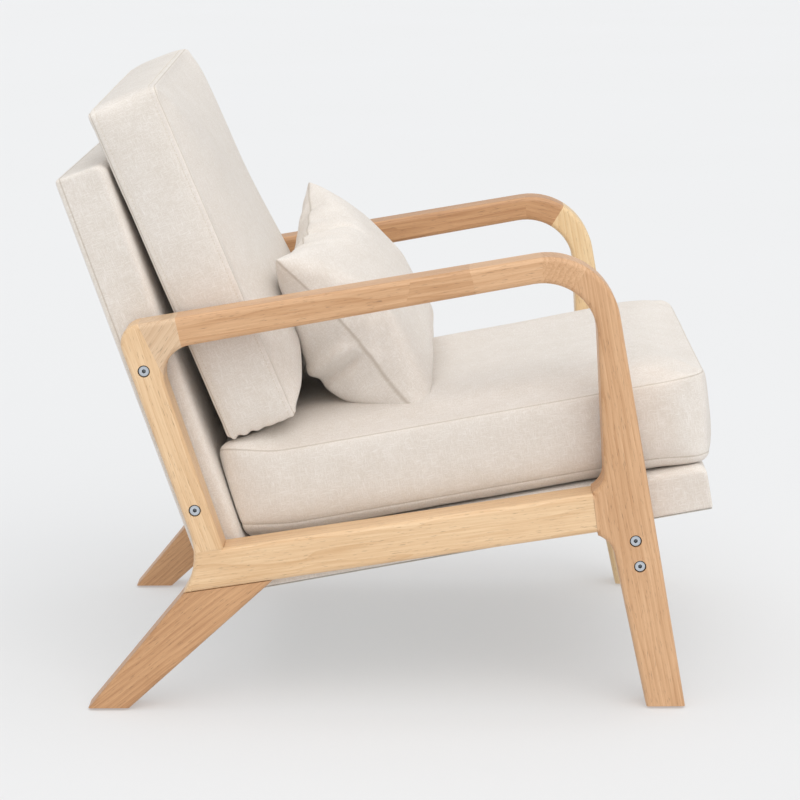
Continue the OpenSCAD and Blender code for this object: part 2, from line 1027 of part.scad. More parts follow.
// Lens shape, long along Y: two arcs that meet at height half
module lens(half, inset) {
    bulge = pillow_t / 2;
    r = (bulge * bulge + half * half) / (2 * bulge);
    intersection() {
        translate([r - bulge, 0])
            circle(r = r - inset, $fn = 96);
        translate([bulge - r, 0])
            circle(r = r - inset, $fn = 96);
    }
}

module pillow_shape(inset) {
    x = pillow_w / 2 - pillow_rim - inset;
    z = pillow_h / 2 - pillow_rim - inset;
    intersection() {
        rotate([90, 0, 90])
            linear_extrude(pillow_w, center = true)
                lens(pillow_h / 2, inset);
        linear_extrude(pillow_h, center = true)
            rotate(90)
                lens(pillow_w / 2, inset);
        block([-x, -pillow_t, -z], [x, pillow_t, z]);
    }
}

// Half of the pillow's cover: side is -1 for its front, 1 for its back
module pillow_cover(side) {
    in_pillow()
        intersection() {
            difference() {
                pillow_shape(0);
                pillow_shape(skin);
            }
            translate([-pillow_w, side > 0 ? fit : -pillow_t - fit, -pillow_h])
                cube([2 * pillow_w, pillow_t, 2 * pillow_h]);
        }
}

module pillow_front() color(cloth) pillow_cover(-1);
module pillow_back() color(cloth) pillow_cover(1);

module pillow_fill() {
    color(foam)
        in_pillow()
            pillow_shape(skin + fit);
}

module pillow_zip() {
    top = -pillow_h / 2 + pillow_rim - fit;
    color("tan")
        in_pillow()
            block([-150, -4, top - zip_t], [150, 4, top]);
}

rear_leg_left();
rear_leg_right();
side_rail_left();
side_rail_right();
rear_upright_left();
rear_upright_right();
corner_block_left();
corner_block_right();
armrest_left();
armrest_right();
arm_bend_block_left();
arm_bend_block_right();
front_leg_left();
front_leg_right();
front_stretcher();
frame_dowels();
frame_bolts();
bolt_washers();
threaded_inserts();
barrel_nuts();
foot_glides();
stretcher_screws();
seat_front_rail();
seat_cross_rail();
seat_rear_rail();
seat_left_rail();
seat_right_rail();
seat_corner_braces();
seat_springs();
spring_clips();
spring_pad();
seat_deck_foam();
seat_base_cover();
dust_cover();
back_top_rail();
back_bottom_rail();
back_left_stile();
back_right_stile();
back_webbing();
back_foam();
back_front_cover();
back_rear_cover();
link_bolts();
link_wedges();
seat_cushion_top();
seat_cushion_boxing();
seat_cushion_bottom();
seat_cushion_piping();
seat_cushion_foam();
seat_cushion_zip();
back_cushion_front();
back_cushion_boxing();
back_cushion_rear();
back_cushion_piping();
back_cushion_fill();
back_cushion_zip();
pillow_front();
pillow_back();
pillow_fill();
pillow_zip();
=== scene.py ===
import json
import math

import bmesh
import bpy
import numpy as np
from mathutils import Matrix, Vector, noise


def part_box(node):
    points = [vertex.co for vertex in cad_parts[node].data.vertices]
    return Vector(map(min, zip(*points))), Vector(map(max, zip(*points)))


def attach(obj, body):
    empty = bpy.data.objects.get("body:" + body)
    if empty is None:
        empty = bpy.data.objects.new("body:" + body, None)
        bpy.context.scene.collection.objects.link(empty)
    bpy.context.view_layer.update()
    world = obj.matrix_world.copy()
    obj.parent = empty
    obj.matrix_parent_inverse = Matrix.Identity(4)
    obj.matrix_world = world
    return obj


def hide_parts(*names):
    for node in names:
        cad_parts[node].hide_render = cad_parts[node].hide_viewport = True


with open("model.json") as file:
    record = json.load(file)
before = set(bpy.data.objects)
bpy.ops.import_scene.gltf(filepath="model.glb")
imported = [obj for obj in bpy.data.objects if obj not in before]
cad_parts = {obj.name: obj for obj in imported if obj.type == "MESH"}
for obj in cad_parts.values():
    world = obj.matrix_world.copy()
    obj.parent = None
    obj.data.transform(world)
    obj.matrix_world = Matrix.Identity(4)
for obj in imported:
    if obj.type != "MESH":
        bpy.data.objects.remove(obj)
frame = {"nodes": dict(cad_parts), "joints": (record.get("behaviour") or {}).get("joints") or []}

MM = 0.001
TINY = 1e-6  # lengths smaller than this are rounding errors
nodes = frame["nodes"]
joints = {joint["name"]: joint for joint in frame["joints"]}
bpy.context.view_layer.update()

ACROSS = Vector((1, 0, 0))
SIDES = ("left", "right")


# ---- Places in the frame ----

def points_of(*names):
    """The corners of some CAD nodes, one row each."""
    return np.array([v.co for name in names for v in nodes[name].data.vertices])


def travel(joint):
    """The direction in which a joint slides."""
    return Vector(joints[joint]["axis"]).normalized()


def long_axis(node):
    """The long direction of a node in the side view, pointing up."""
    places = points_of(node)[:, 1:]
    spread = places - (places.min(0) + places.max(0)) / 2
    along = np.linalg.eigh(spread.T @ spread)[1][:, -1]
    if along[1] < 0:
        along = -along
    return Vector((0, along[0], along[1]))


class Lie:
    """How a piece lies: X across the chair, Y along the piece, Z out of its face, from its middle."""

    def __init__(self, along, *names):
        turn = Matrix((ACROSS, along, ACROSS.cross(along))).transposed()
        local = points_of(*names) @ np.array(turn)
        low, high = local.min(0), local.max(0)
        self.half = Vector(high - low) / 2
        self.matrix = Matrix.Translation(turn @ Vector((low + high) / 2)) @ turn.to_4x4()
        self.inverse = self.matrix.inverted()


seat_lie = Lie(-travel("seat_cushion_lift"), "seat_cushion_top", "seat_cushion_bottom", "seat_cushion_piping")
back_lie = Lie(travel("back_cushion_lift"), "back_cushion_front", "back_cushion_rear", "back_cushion_piping")
base_lie = Lie(-travel("seat_cushion_lift"), "seat_base_cover")
panel_lie = Lie(long_axis("back_rear_cover"), "back_front_cover")
pillow_lie = Lie(long_axis("pillow_fill"), "pillow_fill")


# ---- Materials ----

class Graph:
    """A material's node tree, built with short calls."""

    def __init__(self, name):
        self.material = bpy.data.materials.new(name)
        self.material.use_nodes = True
        self.tree = self.material.node_tree
        self.shader = self.tree.nodes["Principled BSDF"]

    def add(self, kind, inputs=None, **settings):
        made = self.tree.nodes.new(kind)
        for key, value in settings.items():
            setattr(made, key, value)
        for key, value in (inputs or {}).items():
            self.feed(made.inputs[key], value)
        return made

    def feed(self, socket, value):
        if isinstance(value, bpy.types.NodeSocket):
            self.tree.links.new(value, socket)
        else:
            socket.default_value = value

    def math(self, operation, a, b=0.0, c=0.0, clamp=False):
        made = self.add("ShaderNodeMath", {0: a, 1: b, 2: c}, operation=operation, use_clamp=clamp)
        return made.outputs[0]

    def times(self, a, b, plus=0.0):
        return self.math("MULTIPLY_ADD", a, b, plus)

    def place(self):
        """The piece's own coordinates, in metres."""
        return self.add("ShaderNodeTexCoord").outputs["Object"]

    def split(self, vector):
        return self.add("ShaderNodeSeparateXYZ", {0: vector}).outputs

    def join(self, x, y, z=0.0):
        return self.add("ShaderNodeCombineXYZ", {0: x, 1: y, 2: z}).outputs[0]

    def stretched(self, vector, scale=(1, 1, 1), turn=(0, 0, 0), shift=(0, 0, 0)):
        made = self.add("ShaderNodeMapping", {"Vector": vector, "Rotation": turn, "Scale": scale,
                                              "Location": shift})
        return made.outputs[0]

    def cloud(self, vector, scale, detail=2.0, roughness=0.5):
        made = self.add("ShaderNodeTexNoise", {"Vector": vector, "Scale": scale, "Detail": detail,
                                               "Roughness": roughness})
        return made.outputs["Fac"]

    def streaks(self, vector, scales, detail, roughness):
        """Noise with a scale of its own along each axis."""
        return self.cloud(self.stretched(vector, scales), 1.0, detail, roughness)

    def span(self, value, low, high, to_low=0.0, to_high=1.0):
        made = self.add("ShaderNodeMapRange", {"Value": value, "From Min": low, "From Max": high,
                                               "To Min": to_low, "To Max": to_high})
        return made.outputs["Result"]

    def mix(self, share, a, b, blend="MIX"):
        made = self.add("ShaderNodeMix", {"Factor": share}, data_type="RGBA", blend_type=blend)
        for key, value in ((6, a), (7, b)):
            if not isinstance(value, bpy.types.NodeSocket):
                value = (*linear(value), 1)
            self.feed(made.inputs[key], value)
        return made.outputs[2]

    def finish(self, colour, height=None, depth=0.0, **constants):
        self.feed(self.shader.inputs["Base Color"], colour)
        if height is not None:
            bump = self.add("ShaderNodeBump", {"Height": height, "Distance": depth, "Strength": 1.0})
            self.feed(self.shader.inputs["Normal"], bump.outputs[0])
        for key, value in constants.items():
            self.shader.inputs[key.replace("_", " ")].default_value = value
        return self.material


def linear(colour):
    """An sRGB triple from 0 to 255, as linear light."""
    steps = [c / 255 for c in colour]
    return tuple(s / 12.92 if s <= 0.04045 else ((s + 0.055) / 1.055) ** 2.4 for s in steps)


CREAM = (251, 246, 241)
CREAM_SHADE = (227, 218, 208)
# A seam's colour: the thread's darker tone, with painted shade where the cloth is drawn in along the seam.
SEAM_THREAD_AND_SHADOW = (164, 147, 126)
SEAM_SHARE = 0.45  # how much of the seam colour, the thread's tone and painted shade of the seam, goes into the cloth there
THREAD_PITCH = 0.8 * MM
SLUBS = ((90, 700, 700), (700, 90, 700), (700, 700, 90))  # noise scales of the threads each way


def linen(name):
    """Plain-woven cloth with slubs: uneven threads that run both ways across each face."""
    g = Graph(name)
    place = g.place()
    waves = [g.math("SINE", g.times(along, math.tau / THREAD_PITCH)) for along in g.split(place)]
    facing = g.split(g.add("ShaderNodeTexCoord").outputs["Normal"])
    weave = 0.0
    for axis in range(3):
        crossing = g.times(waves[(axis + 1) % 3], waves[(axis + 2) % 3])
        weave = g.times(crossing, g.times(facing[axis], facing[axis]), weave)
    slubs = [g.streaks(place, scales, 3.0, 0.6) for scales in SLUBS]
    slub = g.math("MAXIMUM", g.math("MAXIMUM", slubs[0], slubs[1]), slubs[2])
    soft = g.cloud(place, 26.0, 3.0, 0.6)
    tone = g.math("ADD", g.span(slub, 0.5, 0.78, 0.0, 0.85), g.span(soft, 0.35, 0.65, 0.0, 0.15), clamp=True)
    colour = g.mix(tone, CREAM_SHADE, CREAM)
    # Seams darken the cloth: thread colour and painted shade along the seam lines.
    seam = g.span(g.add("ShaderNodeAttribute", attribute_name="seam").outputs["Fac"], 0.42, 0.92)
    colour = g.mix(g.times(seam, SEAM_SHARE), colour, SEAM_THREAD_AND_SHADOW)
    height = g.times(weave, 0.35, g.times(slub, 1.3))
    return g.finish(colour, height, 0.3 * MM, Roughness=0.92, Sheen_Weight=0.25, Sheen_Roughness=0.5,
                    Specular_IOR_Level=0.25)


# Wood tones: light and dark
HONEY = ((240, 208, 168), (212, 172, 128))
TAN = ((226, 184, 143), (193, 146, 104))
RUSSET = ((214, 168, 124), (176, 128, 88))
SAND = ((227, 198, 165), (204, 169, 134))
PALE = ((240, 214, 172), (222, 186, 138))
PINE = ((232, 206, 160), (206, 172, 124))

# Noise scales along and across the grain
DRIFT = (2.2, 14, 14)
BROAD_TONE = (3.5, 22, 22)
FIBRE = (14, 480, 480)
PORES = (75, 950, 950)

SEED_SHIFT = Vector((0.37, 0.11, 0.23))  # how far apart in the wood two boards with seeds 1 apart are cut
FINGER_PITCH = 5 * MM
FINGER_DEPTH = 1 * MM
NEXT_LENGTH = (3.1, 0.9)  # how far along and across in the wood the next length at a finger joint is cut
END_GRAIN_LEAN = 0.25  # how far the fibres of a board that shows end grain lean along it


def timber(name, grain, light, dark, seed, ring_pitch=9 * MM, end_grain=False, fingers=()):
    """Straight-grained light hardwood under satin lacquer. grain is its direction. fingers are the middles,
    slants and changes of tone of the finger joints where its next length starts, with its own figure."""
    g = Graph(name)
    grain = Vector(grain).normalized()
    if end_grain:
        grain = (ACROSS + END_GRAIN_LEAN * grain).normalized()
    turn = grain.rotation_difference(ACROSS)
    shift = seed * SEED_SHIFT
    place = g.stretched(g.place(), turn=tuple(turn.to_euler()), shift=tuple(shift))
    along, across, deep = g.split(place)
    passed = lightened = 0.0
    for middle, slant, lighter in fingers:
        middle = turn @ middle + shift
        zigzag = g.math("PINGPONG", across, FINGER_PITCH / 2)
        line = g.times(deep, -slant, middle.x + slant * middle.z)
        line = g.times(zigzag, 2 * FINGER_DEPTH / FINGER_PITCH, line)
        past = g.math("GREATER_THAN", along, line)
        passed = g.math("ADD", past, passed)
        lightened = g.times(past, lighter, lightened)
    if fingers:
        skip = g.join(*(g.times(passed, step) for step in NEXT_LENGTH))
        place = g.add("ShaderNodeVectorMath", {0: place, 1: skip}, operation="ADD").outputs[0]
        along, across, deep = g.split(place)
    bend = g.times(g.streaks(place, DRIFT, 3.0, 0.55), 5.5 * ring_pitch, across)
    bend = g.times(deep, 0.45, bend)
    rings = g.math("POWER", g.math("FRACT", g.math("DIVIDE", bend, ring_pitch)), 2.2)
    fibre = g.streaks(place, FIBRE, 4.0, 0.62)
    pores = g.span(g.streaks(place, PORES, 2.0, 0.5), 0.63, 0.72)
    broad = g.streaks(place, BROAD_TONE, 2.0, 0.5)
    tone = g.times(rings, 0.36, g.span(fibre, 0.32, 0.68, -0.06, 0.50))
    tone = g.math("ADD", tone, g.span(broad, 0.3, 0.7, 0.0, 0.35))
    tone = g.math("SUBTRACT", tone, lightened, clamp=True)
    colour = g.mix(tone, light, dark)
    colour = g.mix(g.times(pores, 0.5), colour, tuple(c * 0.6 for c in dark))
    height = g.math("SUBTRACT", g.times(fibre, 0.5), pores)
    return g.finish(colour, height, 0.12 * MM, Roughness=0.42, Coat_Weight=0.12, Coat_Roughness=0.3,
                    Specular_IOR_Level=0.4)


def metal(name, light, dark, roughness, metallic=1.0, shade=1.0):
    """Plated or drawn metal, with fine scratches and a cloudy tone, and shade where it is sunk or cut in."""
    g = Graph(name)
    place = g.place()
    scratch = g.streaks(place, (40, 900, 900), 3.0, 0.6)
    cloud = g.cloud(place, 160.0, 3.0, 0.6)
    colour = g.mix(g.times(scratch, 0.5, g.times(cloud, 0.5)), dark, light)
    if shade < 1:
        open_share = g.add("ShaderNodeAmbientOcclusion", {"Distance": 4 * MM}, samples=8).outputs["AO"]
        open_share = g.span(open_share, 0.45, 0.9, shade, 1.0)
        colour = g.mix(1.0, colour, g.join(open_share, open_share, open_share), "MULTIPLY")
    return g.finish(colour, scratch, 0.05 * MM, Roughness=roughness, Metallic=metallic)


def grainy(name, light, dark, scale, depth, roughness, stretch=(1, 1, 1)):
    """Foam, felt, tape and plastic: one grain at one scale, over a broad change of tone."""
    g = Graph(name)
    place = g.stretched(g.place(), stretch)
    fine = g.cloud(place, scale, 4.0, 0.65)
    broad = g.cloud(place, scale / 14)
    tone = g.times(fine, 0.7, g.times(broad, 0.3))
    colour = g.mix(g.span(tone, 0.3, 0.7), dark, light)
    return g.finish(colour, fine, depth, Roughness=roughness)


cloth = linen("linen")
thread_cloth = grainy("thread", (238, 230, 218), (205, 192, 174), 900, 0.1 * MM, 0.8)
bolt_zinc = metal("bolt_zinc", (226, 232, 238), (176, 182, 190), 0.3, shade=0.12)
# The washers' zinc is painted dark: painted shade of the counterbores round the bolt heads.
washer_painted_shade = metal("washer_painted_shade", (128, 126, 122), (84, 82, 79), 0.5)
spring_wire = metal("spring_wire", (110, 110, 114), (70, 70, 74), 0.4)
insert_brass = metal("insert_brass", (205, 170, 96), (160, 125, 62), 0.35)
glide_plastic = grainy("glide_plastic", (78, 70, 62), (56, 50, 45), 700, 0.05 * MM, 0.55)
felt = grainy("felt", (122, 122, 124), (92, 92, 95), 500, 0.4 * MM, 0.95)
webbing = grainy("webbing", (118, 114, 108), (84, 80, 76), 260, 0.3 * MM, 0.85, (1, 6, 1))
dust_cloth = grainy("dust_cloth", (214, 211, 204), (190, 187, 180), 420, 0.25 * MM, 0.95)
zip_tape = grainy("zip_tape", (226, 216, 200), (198, 186, 168), 800, 0.2 * MM, 0.85, (1, 4, 1))
zip_teeth = metal("zip_teeth", (190, 184, 170), (150, 144, 132), 0.4, 0.6)


# ---- Meshes ----

def linked(name, data):
    """A new object, put in the scene."""
    made = bpy.data.objects.new(name, data)
    bpy.context.scene.collection.objects.link(made)
    return made


def new_piece(name, bm, matrix=Matrix(), material=None, smooth=True):
    """A mesh object from a bmesh, in its own frame."""
    mesh = bpy.data.meshes.new(name)
    bm.normal_update()
    bm.to_mesh(mesh)
    bm.free()
    piece = linked(name, mesh)
    piece.matrix_world = matrix
    set_finish(piece, material)
    shade(mesh, smooth)
    return piece


def set_finish(piece, material):
    piece.data.materials.clear()
    if material:
        piece.data.materials.append(material)


def shade(mesh, smooth=True):
    for face in mesh.polygons:
        face.use_smooth = smooth


def apply_modifiers(piece):
    """Makes what a piece's modifiers show its own mesh."""
    bpy.context.view_layer.update()
    evaluated = piece.evaluated_get(bpy.context.evaluated_depsgraph_get())
    mesh = bpy.data.meshes.new_from_object(evaluated)
    piece.modifiers.clear()
    old, piece.data = piece.data, mesh
    name = old.name
    bpy.data.meshes.remove(old)
    mesh.name = name


def cut_with(piece, operation, tool):
    """Keeps the part of a piece inside a tool, or outside it, and removes the tool."""
    cut = piece.modifiers.new("cut", "BOOLEAN")
    cut.operation, cut.object, cut.solver = operation, tool, "EXACT"
    apply_modifiers(piece)
    bpy.data.objects.remove(tool)


def weld(bm):
    bmesh.ops.remove_doubles(bm, verts=bm.verts, dist=TOUCH)


def face_outwards(bm):
    bmesh.ops.recalc_face_normals(bm, faces=bm.faces)


def coordinates(piece):
    co = np.empty(len(piece.data.vertices) * 3)
    piece.data.vertices.foreach_get("co", co)
    return co.reshape(-1, 3)


def set_coordinates(piece, co):
    piece.data.vertices.foreach_set("co", np.asarray(co, float).ravel())
    piece.data.update()


def normals_of(piece):
    out = np.empty(len(piece.data.vertices) * 3)
    piece.data.vertex_normals.foreach_get("vector", out)
    return out.reshape(-1, 3)


def lengths(rows):
    return np.linalg.norm(rows, axis=1)


def spaced(low, high, step):
    """Even places from low to high, about step apart."""
    return list(np.linspace(low, high, max(2, round((high - low) / step) + 1)))


def around(ring):
    """Each item of a ring with the one after it."""
    return zip(ring, ring[1:] + ring[:1])


def bridge(bm, upper, lower):
    """Quads between two rings of corners."""
    for (a, b), (c, d) in zip(around(upper), around(lower)):
        bm.faces.new((a, c, d, b))


def tube(bm, rings):
    """A closed skin over rings of corners that follow each other."""
    for lower, upper in zip(rings, rings[1:]):
        for (a, b), (c, d) in zip(around(lower), around(upper)):
            bm.faces.new((a, b, d, c))
    bm.faces.new(reversed(rings[0]))
    bm.faces.new(rings[-1])


def box_grid(xs, ys, zs):
    """A box's surface in quads, with a line at each of the places given along each axis."""
    bm = bmesh.new()
    made = {}

    def corner(key):
        if key not in made:
            made[key] = bm.verts.new((xs[key[0]], ys[key[1]], zs[key[2]]))
        return made[key]

    def sheet(columns, rows, place, flip):
        for u in range(columns - 1):
            for v in range(rows - 1):
                ring = [place(u, v), place(u + 1, v), place(u + 1, v + 1), place(u, v + 1)]
                if flip:
                    ring.reverse()
                bm.faces.new([corner(key) for key in ring])

    nx, ny, nz = len(xs), len(ys), len(zs)
    for end, flip in ((0, True), (1, False)):
        sheet(nx, ny, lambda u, v: (u, v, end * (nz - 1)), flip)
        sheet(nx, nz, lambda u, v: (u, end * (ny - 1), v), not flip)
        sheet(ny, nz, lambda u, v: (end * (nx - 1), u, v), flip)
    return bm


def soften(co, half, plan_radius, top_radius, bottom_radius):
    """Rounds a box: plan_radius at its upright edges, and a shoulder of each depth at top and bottom."""
    depth = np.where(co[:, 2:] > 0, top_radius, bottom_radius)
    plan = np.broadcast_to(plan_radius, len(co))
    radii = np.column_stack([plan, plan, depth])
    inner = np.array(half) - radii
    over = np.maximum(np.abs(co) - inner, 0) / radii
    length = np.linalg.norm(over, axis=1, keepdims=True)
    over *= np.where(length > 0, over.max(1, keepdims=True) / np.maximum(length, TINY), 1)
    return np.sign(co) * (np.minimum(np.abs(co), inner) + over * radii)


# ---- Side frames ----

EDGE_RADIUS = 7 * MM  # rounding of the boards' edges
EDGE_STEPS = 6
SOLE_HEIGHT = 6 * MM  # edges wholly below this are the soles of the feet
SOLE_RADIUS = 1.5 * MM
SHORT_EDGE = 1.5 * MM  # shorter edges of an outline are left out
CUT_SLACK = 0.6 * MM  # how far a board's cutting shape stands off its free edges
CUT_REACH = 60 * MM  # and how far it reaches each way from the board's middle
TOUCH = 0.05 * MM  # places closer than this are the same
SEAM_TOUCH = 4 * TOUCH  # and so are two boards' outlines along a glue line
PARALLEL = 0.01  # the sine of an angle too flat for a sharp corner
BORE_SLACK = 0.3 * MM  # gap between a washer's rim and its counterbore
CUTTER_OVERSHOOT = 10 * MM
SHARP = math.radians(32)  # edges bent more than this stay sharp in shading
BOARDS = ("rear_upright", "corner_block", "armrest", "arm_bend_block", "front_leg", "side_rail")


def cross(a, b):
    """The cross product of directions in the side view."""
    return a[..., 0] * b[..., 1] - a[..., 1] * b[..., 0]


def following(loop):
    return np.roll(loop, -1, axis=0)


def spot(y, z, size, used=()):
    """The grid square a place is in, or one beside it that is used, so that rounding splits no corner."""
    here = (round(y / size), round(z / size))
    for dy in (0, -1, 1):
        for dz in (0, -1, 1):
            if (here[0] + dy, here[1] + dz) in used:
                return here[0] + dy, here[1] + dz
    return here


def side_outline(node):
    """A board's outline in the side view, anticlockwise, as an array of (y, z) rows."""
    mesh = nodes[node].data
    outer = max(v.co.x for v in mesh.vertices)
    edges = {}
    place = {}
    for face in mesh.polygons:
        corners = [mesh.vertices[i].co for i in face.vertices]
        if min(c.x for c in corners) < outer - TOUCH:
            continue
        for c, d in around(corners):
            pair = (spot(c.y, c.z, TOUCH), spot(d.y, d.z, TOUCH))
            place[pair[0]] = (c.y, c.z)
            if pair[::-1] in edges:
                del edges[pair[::-1]]
            else:
                edges[pair] = True
    return max(chains(edges, place), key=lambda loop: abs(np.sum(cross(loop, following(loop)))))


def chains(edges, place):
    """Closed loops through directed edges."""
    after = dict(edges.keys())
    loops = []
    while after:
        here = next(iter(after))
        loop = []
        while here in after:
            loop.append(place[here])
            here = after.pop(here)
        loops.append(np.array(loop))
    return loops


def on_outline(point, loop):
    """Whether a point lies on a closed outline."""
    along = following(loop) - loop
    share = np.clip(((point - loop) * along).sum(1) / (along ** 2).sum(1), 0, 1)
    return lengths(loop + share[:, None] * along - point).min() < SEAM_TOUCH


def glue_lines(loop, others):
    """Which edges of a loop run along other outlines."""
    return np.array([any(on_outline(middle, other) for other in others)
                     for middle in (loop + following(loop)) / 2])


def split_outline(loop, others):
    """Adds to a loop the other outlines' corners that lie on its edges."""
    made = []
    for a, b in zip(loop, following(loop)):
        made.append(a)
        length = np.linalg.norm(b - a)
        apart = 2 * SEAM_TOUCH / length
        found = []
        for other in others:
            share = ((other - a) @ (b - a)) / length ** 2
            off = lengths(a + share[:, None] * (b - a) - other)
            near = (off < SEAM_TOUCH) & (share > apart) & (1 - share > apart)
            found += [(s, tuple(p)) for s, p in zip(share[near], other[near])]
        last = 0.0
        for s, p in sorted(found):
            if s - last > apart:
                made.append(np.array(p))
                last = s
    return np.array(made)


def merge_loops(outlines):
    """The loops round several outlines that meet along glue lines, with the glue lines left out."""
    free = {}
    place = {}
    for i, loop in enumerate(outlines):
        others = outlines[:i] + outlines[i + 1:]
        whole = split_outline(loop, others)
        for a, b, glued in zip(whole, following(whole), glue_lines(whole, others)):
            if glued:
                continue
            start, end = (spot(*p, 10 * TOUCH, place) for p in (a, b))
            place.setdefault(start, tuple(a))
            place.setdefault(end, tuple(b))
            if start != end:
                free[(start, end)] = True
    return chains(free, place)


def tidy_loop(loop):
    """Puts one sharp corner in place of each run of very short edges."""
    edges = following(loop) - loop
    long_edges = np.flatnonzero(lengths(edges) >= SHORT_EDGE)
    made = []
    for i, j in zip(long_edges, np.roll(long_edges, -1)):
        if (i + 1) % len(loop) == j:
            made.append(loop[j])
            continue
        start = following(loop)[i]
        gap = loop[j] - start
        turn = cross(edges[i], edges[j])
        middle = corner = (start + loop[j]) / 2
        if abs(turn) > 2 * PARALLEL * np.linalg.norm(edges[i]) * np.linalg.norm(edges[j]):
            corner = start + edges[i] * cross(gap, edges[j]) / turn
        if np.linalg.norm(corner - middle) > 3 * SHORT_EDGE + np.linalg.norm(gap):
            corner = middle
        made.append(corner)
    return np.array(made)


def inset(loop, distances):
    """A loop with each of its edges moved inwards by its own distance."""
    ahead = following(loop) - loop
    ahead /= np.linalg.norm(ahead, axis=1, keepdims=True)
    n1 = np.stack([-ahead[:, 1], ahead[:, 0]], 1)
    n0 = np.roll(n1, 1, axis=0)
    a, b = np.roll(distances, 1)[:, None], distances[:, None]
    turn = cross(n0, n1)[:, None]
    flat = np.abs(turn) < PARALLEL
    mitre = (a * n1 - b * n0)[:, ::-1] * (1, -1) / np.where(flat, 1, turn)
    return loop + np.where(flat, (n0 + n1) / 2 * (a + b) / 2, mitre)


def edge_radii(loop):
    """The rounding along each edge of a board: less round the sole of a foot."""
    sole = np.maximum(loop[:, 1], following(loop)[:, 1]) < SOLE_HEIGHT
    return np.where(sole, SOLE_RADIUS, EDGE_RADIUS)


def rounded_board(loops, thickness, radii):
    """A board with rounded edges: its loops stand in the YZ plane, and it is centred on X = 0."""
    bm = bmesh.new()
    face_edges = {1: [], -1: []}
    angles = [math.pi / 2 * k / EDGE_STEPS for k in range(EDGE_STEPS + 1)]
    for loop, radius in zip(loops, radii):
        rings = []
        for side in (1, -1):
            for angle in angles[::-side]:
                ring = inset(loop, radius * (1 - math.cos(angle)))
                x = side * (thickness / 2 - radius.max() * (1 - math.sin(angle)))
                rings.append([bm.verts.new((x, *p)) for p in ring])
        for upper, lower in zip(rings, rings[1:]):
            bridge(bm, upper, lower)
        for side, ring in ((1, rings[0]), (-1, rings[-1])):
            face_edges[side] += [bm.edges.get(pair) for pair in around(ring)]
    for edges in face_edges.values():
        bmesh.ops.triangle_fill(bm, edges=edges, use_beauty=True)
    weld(bm)
    face_outwards(bm)
    return bm


def cut_board(whole, outline, others):
    """The part of the whole frame inside one board's outline, cut along its glue lines."""
    split = split_outline(outline, others)
    loop = inset(split, np.where(glue_lines(split, others), 0.0, -CUT_SLACK))
    bm = bmesh.new()
    rear, front = ([bm.verts.new((x, *p)) for p in loop] for x in (-CUT_REACH, CUT_REACH))
    for (a, b), (c, d) in zip(around(rear), around(front)):
        bm.faces.new((a, b, d, c))
    bm.faces.new(rear)
    bm.faces.new(front)
    face_outwards(bm)
    board = linked("board", whole.data.copy())
    cut_with(board, "INTERSECT", new_piece("prism", bm))
    made = bmesh.new()
    made.from_mesh(board.data)
    weld(made)
    bmesh.ops.holes_fill(made, edges=[edge for edge in made.edges if edge.is_boundary], sides=6)
    bpy.data.objects.remove(board)
    return made


def islands(bm):
    """The connected pieces of a mesh, as lists of corners."""
    left = set(bm.verts)
    while left:
        stack = [left.pop()]
        found = []
        while stack:
            here = stack.pop()
            found.append(here)
            for edge in here.link_edges:
                other = edge.other_vert(here)
                if other in left:
                    left.remove(other)
                    stack.append(other)
        yield found


def bolt_seats():
    """Where each frame bolt's washer lies: its middle, its outer radius and its inner face."""
    bm = bmesh.new()
    bm.from_mesh(nodes["bolt_washers"].data)
    weld(bm)
    seats = []
    for verts in islands(bm):
        co = np.array([v.co for v in verts])
        low, high = co.min(0), co.max(0)
        seats.append(((low + high) / 2, (high[1] - low[1]) / 2, min(abs(low[0]), abs(high[0]))))
    bm.free()
    return seats


def sink_counterbores(piece, seats, outer_x):
    """Cuts the counterbores of the bolts that lie on a board."""
    bounds = np.array(piece.bound_box)
    for middle, radius, floor in seats:
        side = np.sign(middle[0])
        inside = (bounds.min(0) < middle) & (middle < bounds.max(0))
        if not inside[1:].all() or side != np.sign(piece.matrix_world.translation.x):
            continue
        bm = bmesh.new()
        radius += BORE_SLACK
        depth = outer_x - floor + CUTTER_OVERSHOOT
        bmesh.ops.create_cone(bm, cap_ends=True, segments=40, radius1=radius, radius2=radius, depth=depth)
        centre = Matrix.Translation((side * (floor + depth / 2), middle[1], middle[2]))
        cut_with(piece, "DIFFERENCE", new_piece("cutter", bm, centre @ Matrix.Rotation(math.pi / 2, 4, "Y")))


def flat_faces_first(piece):
    """Keeps flat faces flat in shading, next to rounded edges."""
    bm = bmesh.new()
    bm.from_mesh(piece.data)
    for edge in bm.edges:
        edge.smooth = len(edge.link_faces) == 2 and edge.calc_face_angle() < SHARP
    bm.to_mesh(piece.data)
    bm.free()
    shade(piece.data)
    piece.modifiers.new("weighted", "WEIGHTED_NORMAL").keep_sharp = True
    apply_modifiers(piece)


def build_side_frames():
    """Both side frames, from the outlines of the right one, whose boards the left one mirrors."""
    outlines = {board: side_outline(f"{board}_right") for board in (*BOARDS, "rear_leg")}
    low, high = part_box("side_rail_right")
    loops = [tidy_loop(loop) for loop in merge_loops([outlines[b] for b in BOARDS])]
    whole = rounded_board(loops, high.x - low.x, [edge_radii(loop) for loop in loops])
    whole = new_piece("whole", whole)
    boards = {}
    for board in BOARDS:
        others = [outlines[b] for b in BOARDS if b != board]
        boards[board] = cut_board(whole, outlines[board], others)
    bpy.data.objects.remove(whole)
    leg_low, leg_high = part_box("rear_leg_right")
    loop = tidy_loop(outlines["rear_leg"])
    radius = np.where(glue_lines(loop, [outlines["side_rail"]]), 0.0, edge_radii(loop))
    boards["rear_leg"] = rounded_board([loop], leg_high.x - leg_low.x, [radius])
    seats = bolt_seats()
    middle_x = (low.x + high.x) / 2
    for board, bm in boards.items():
        make_board(board, "left", bm.copy(), -middle_x, seats, -low.x)
        make_board(board, "right", bm, middle_x, seats, -low.x)


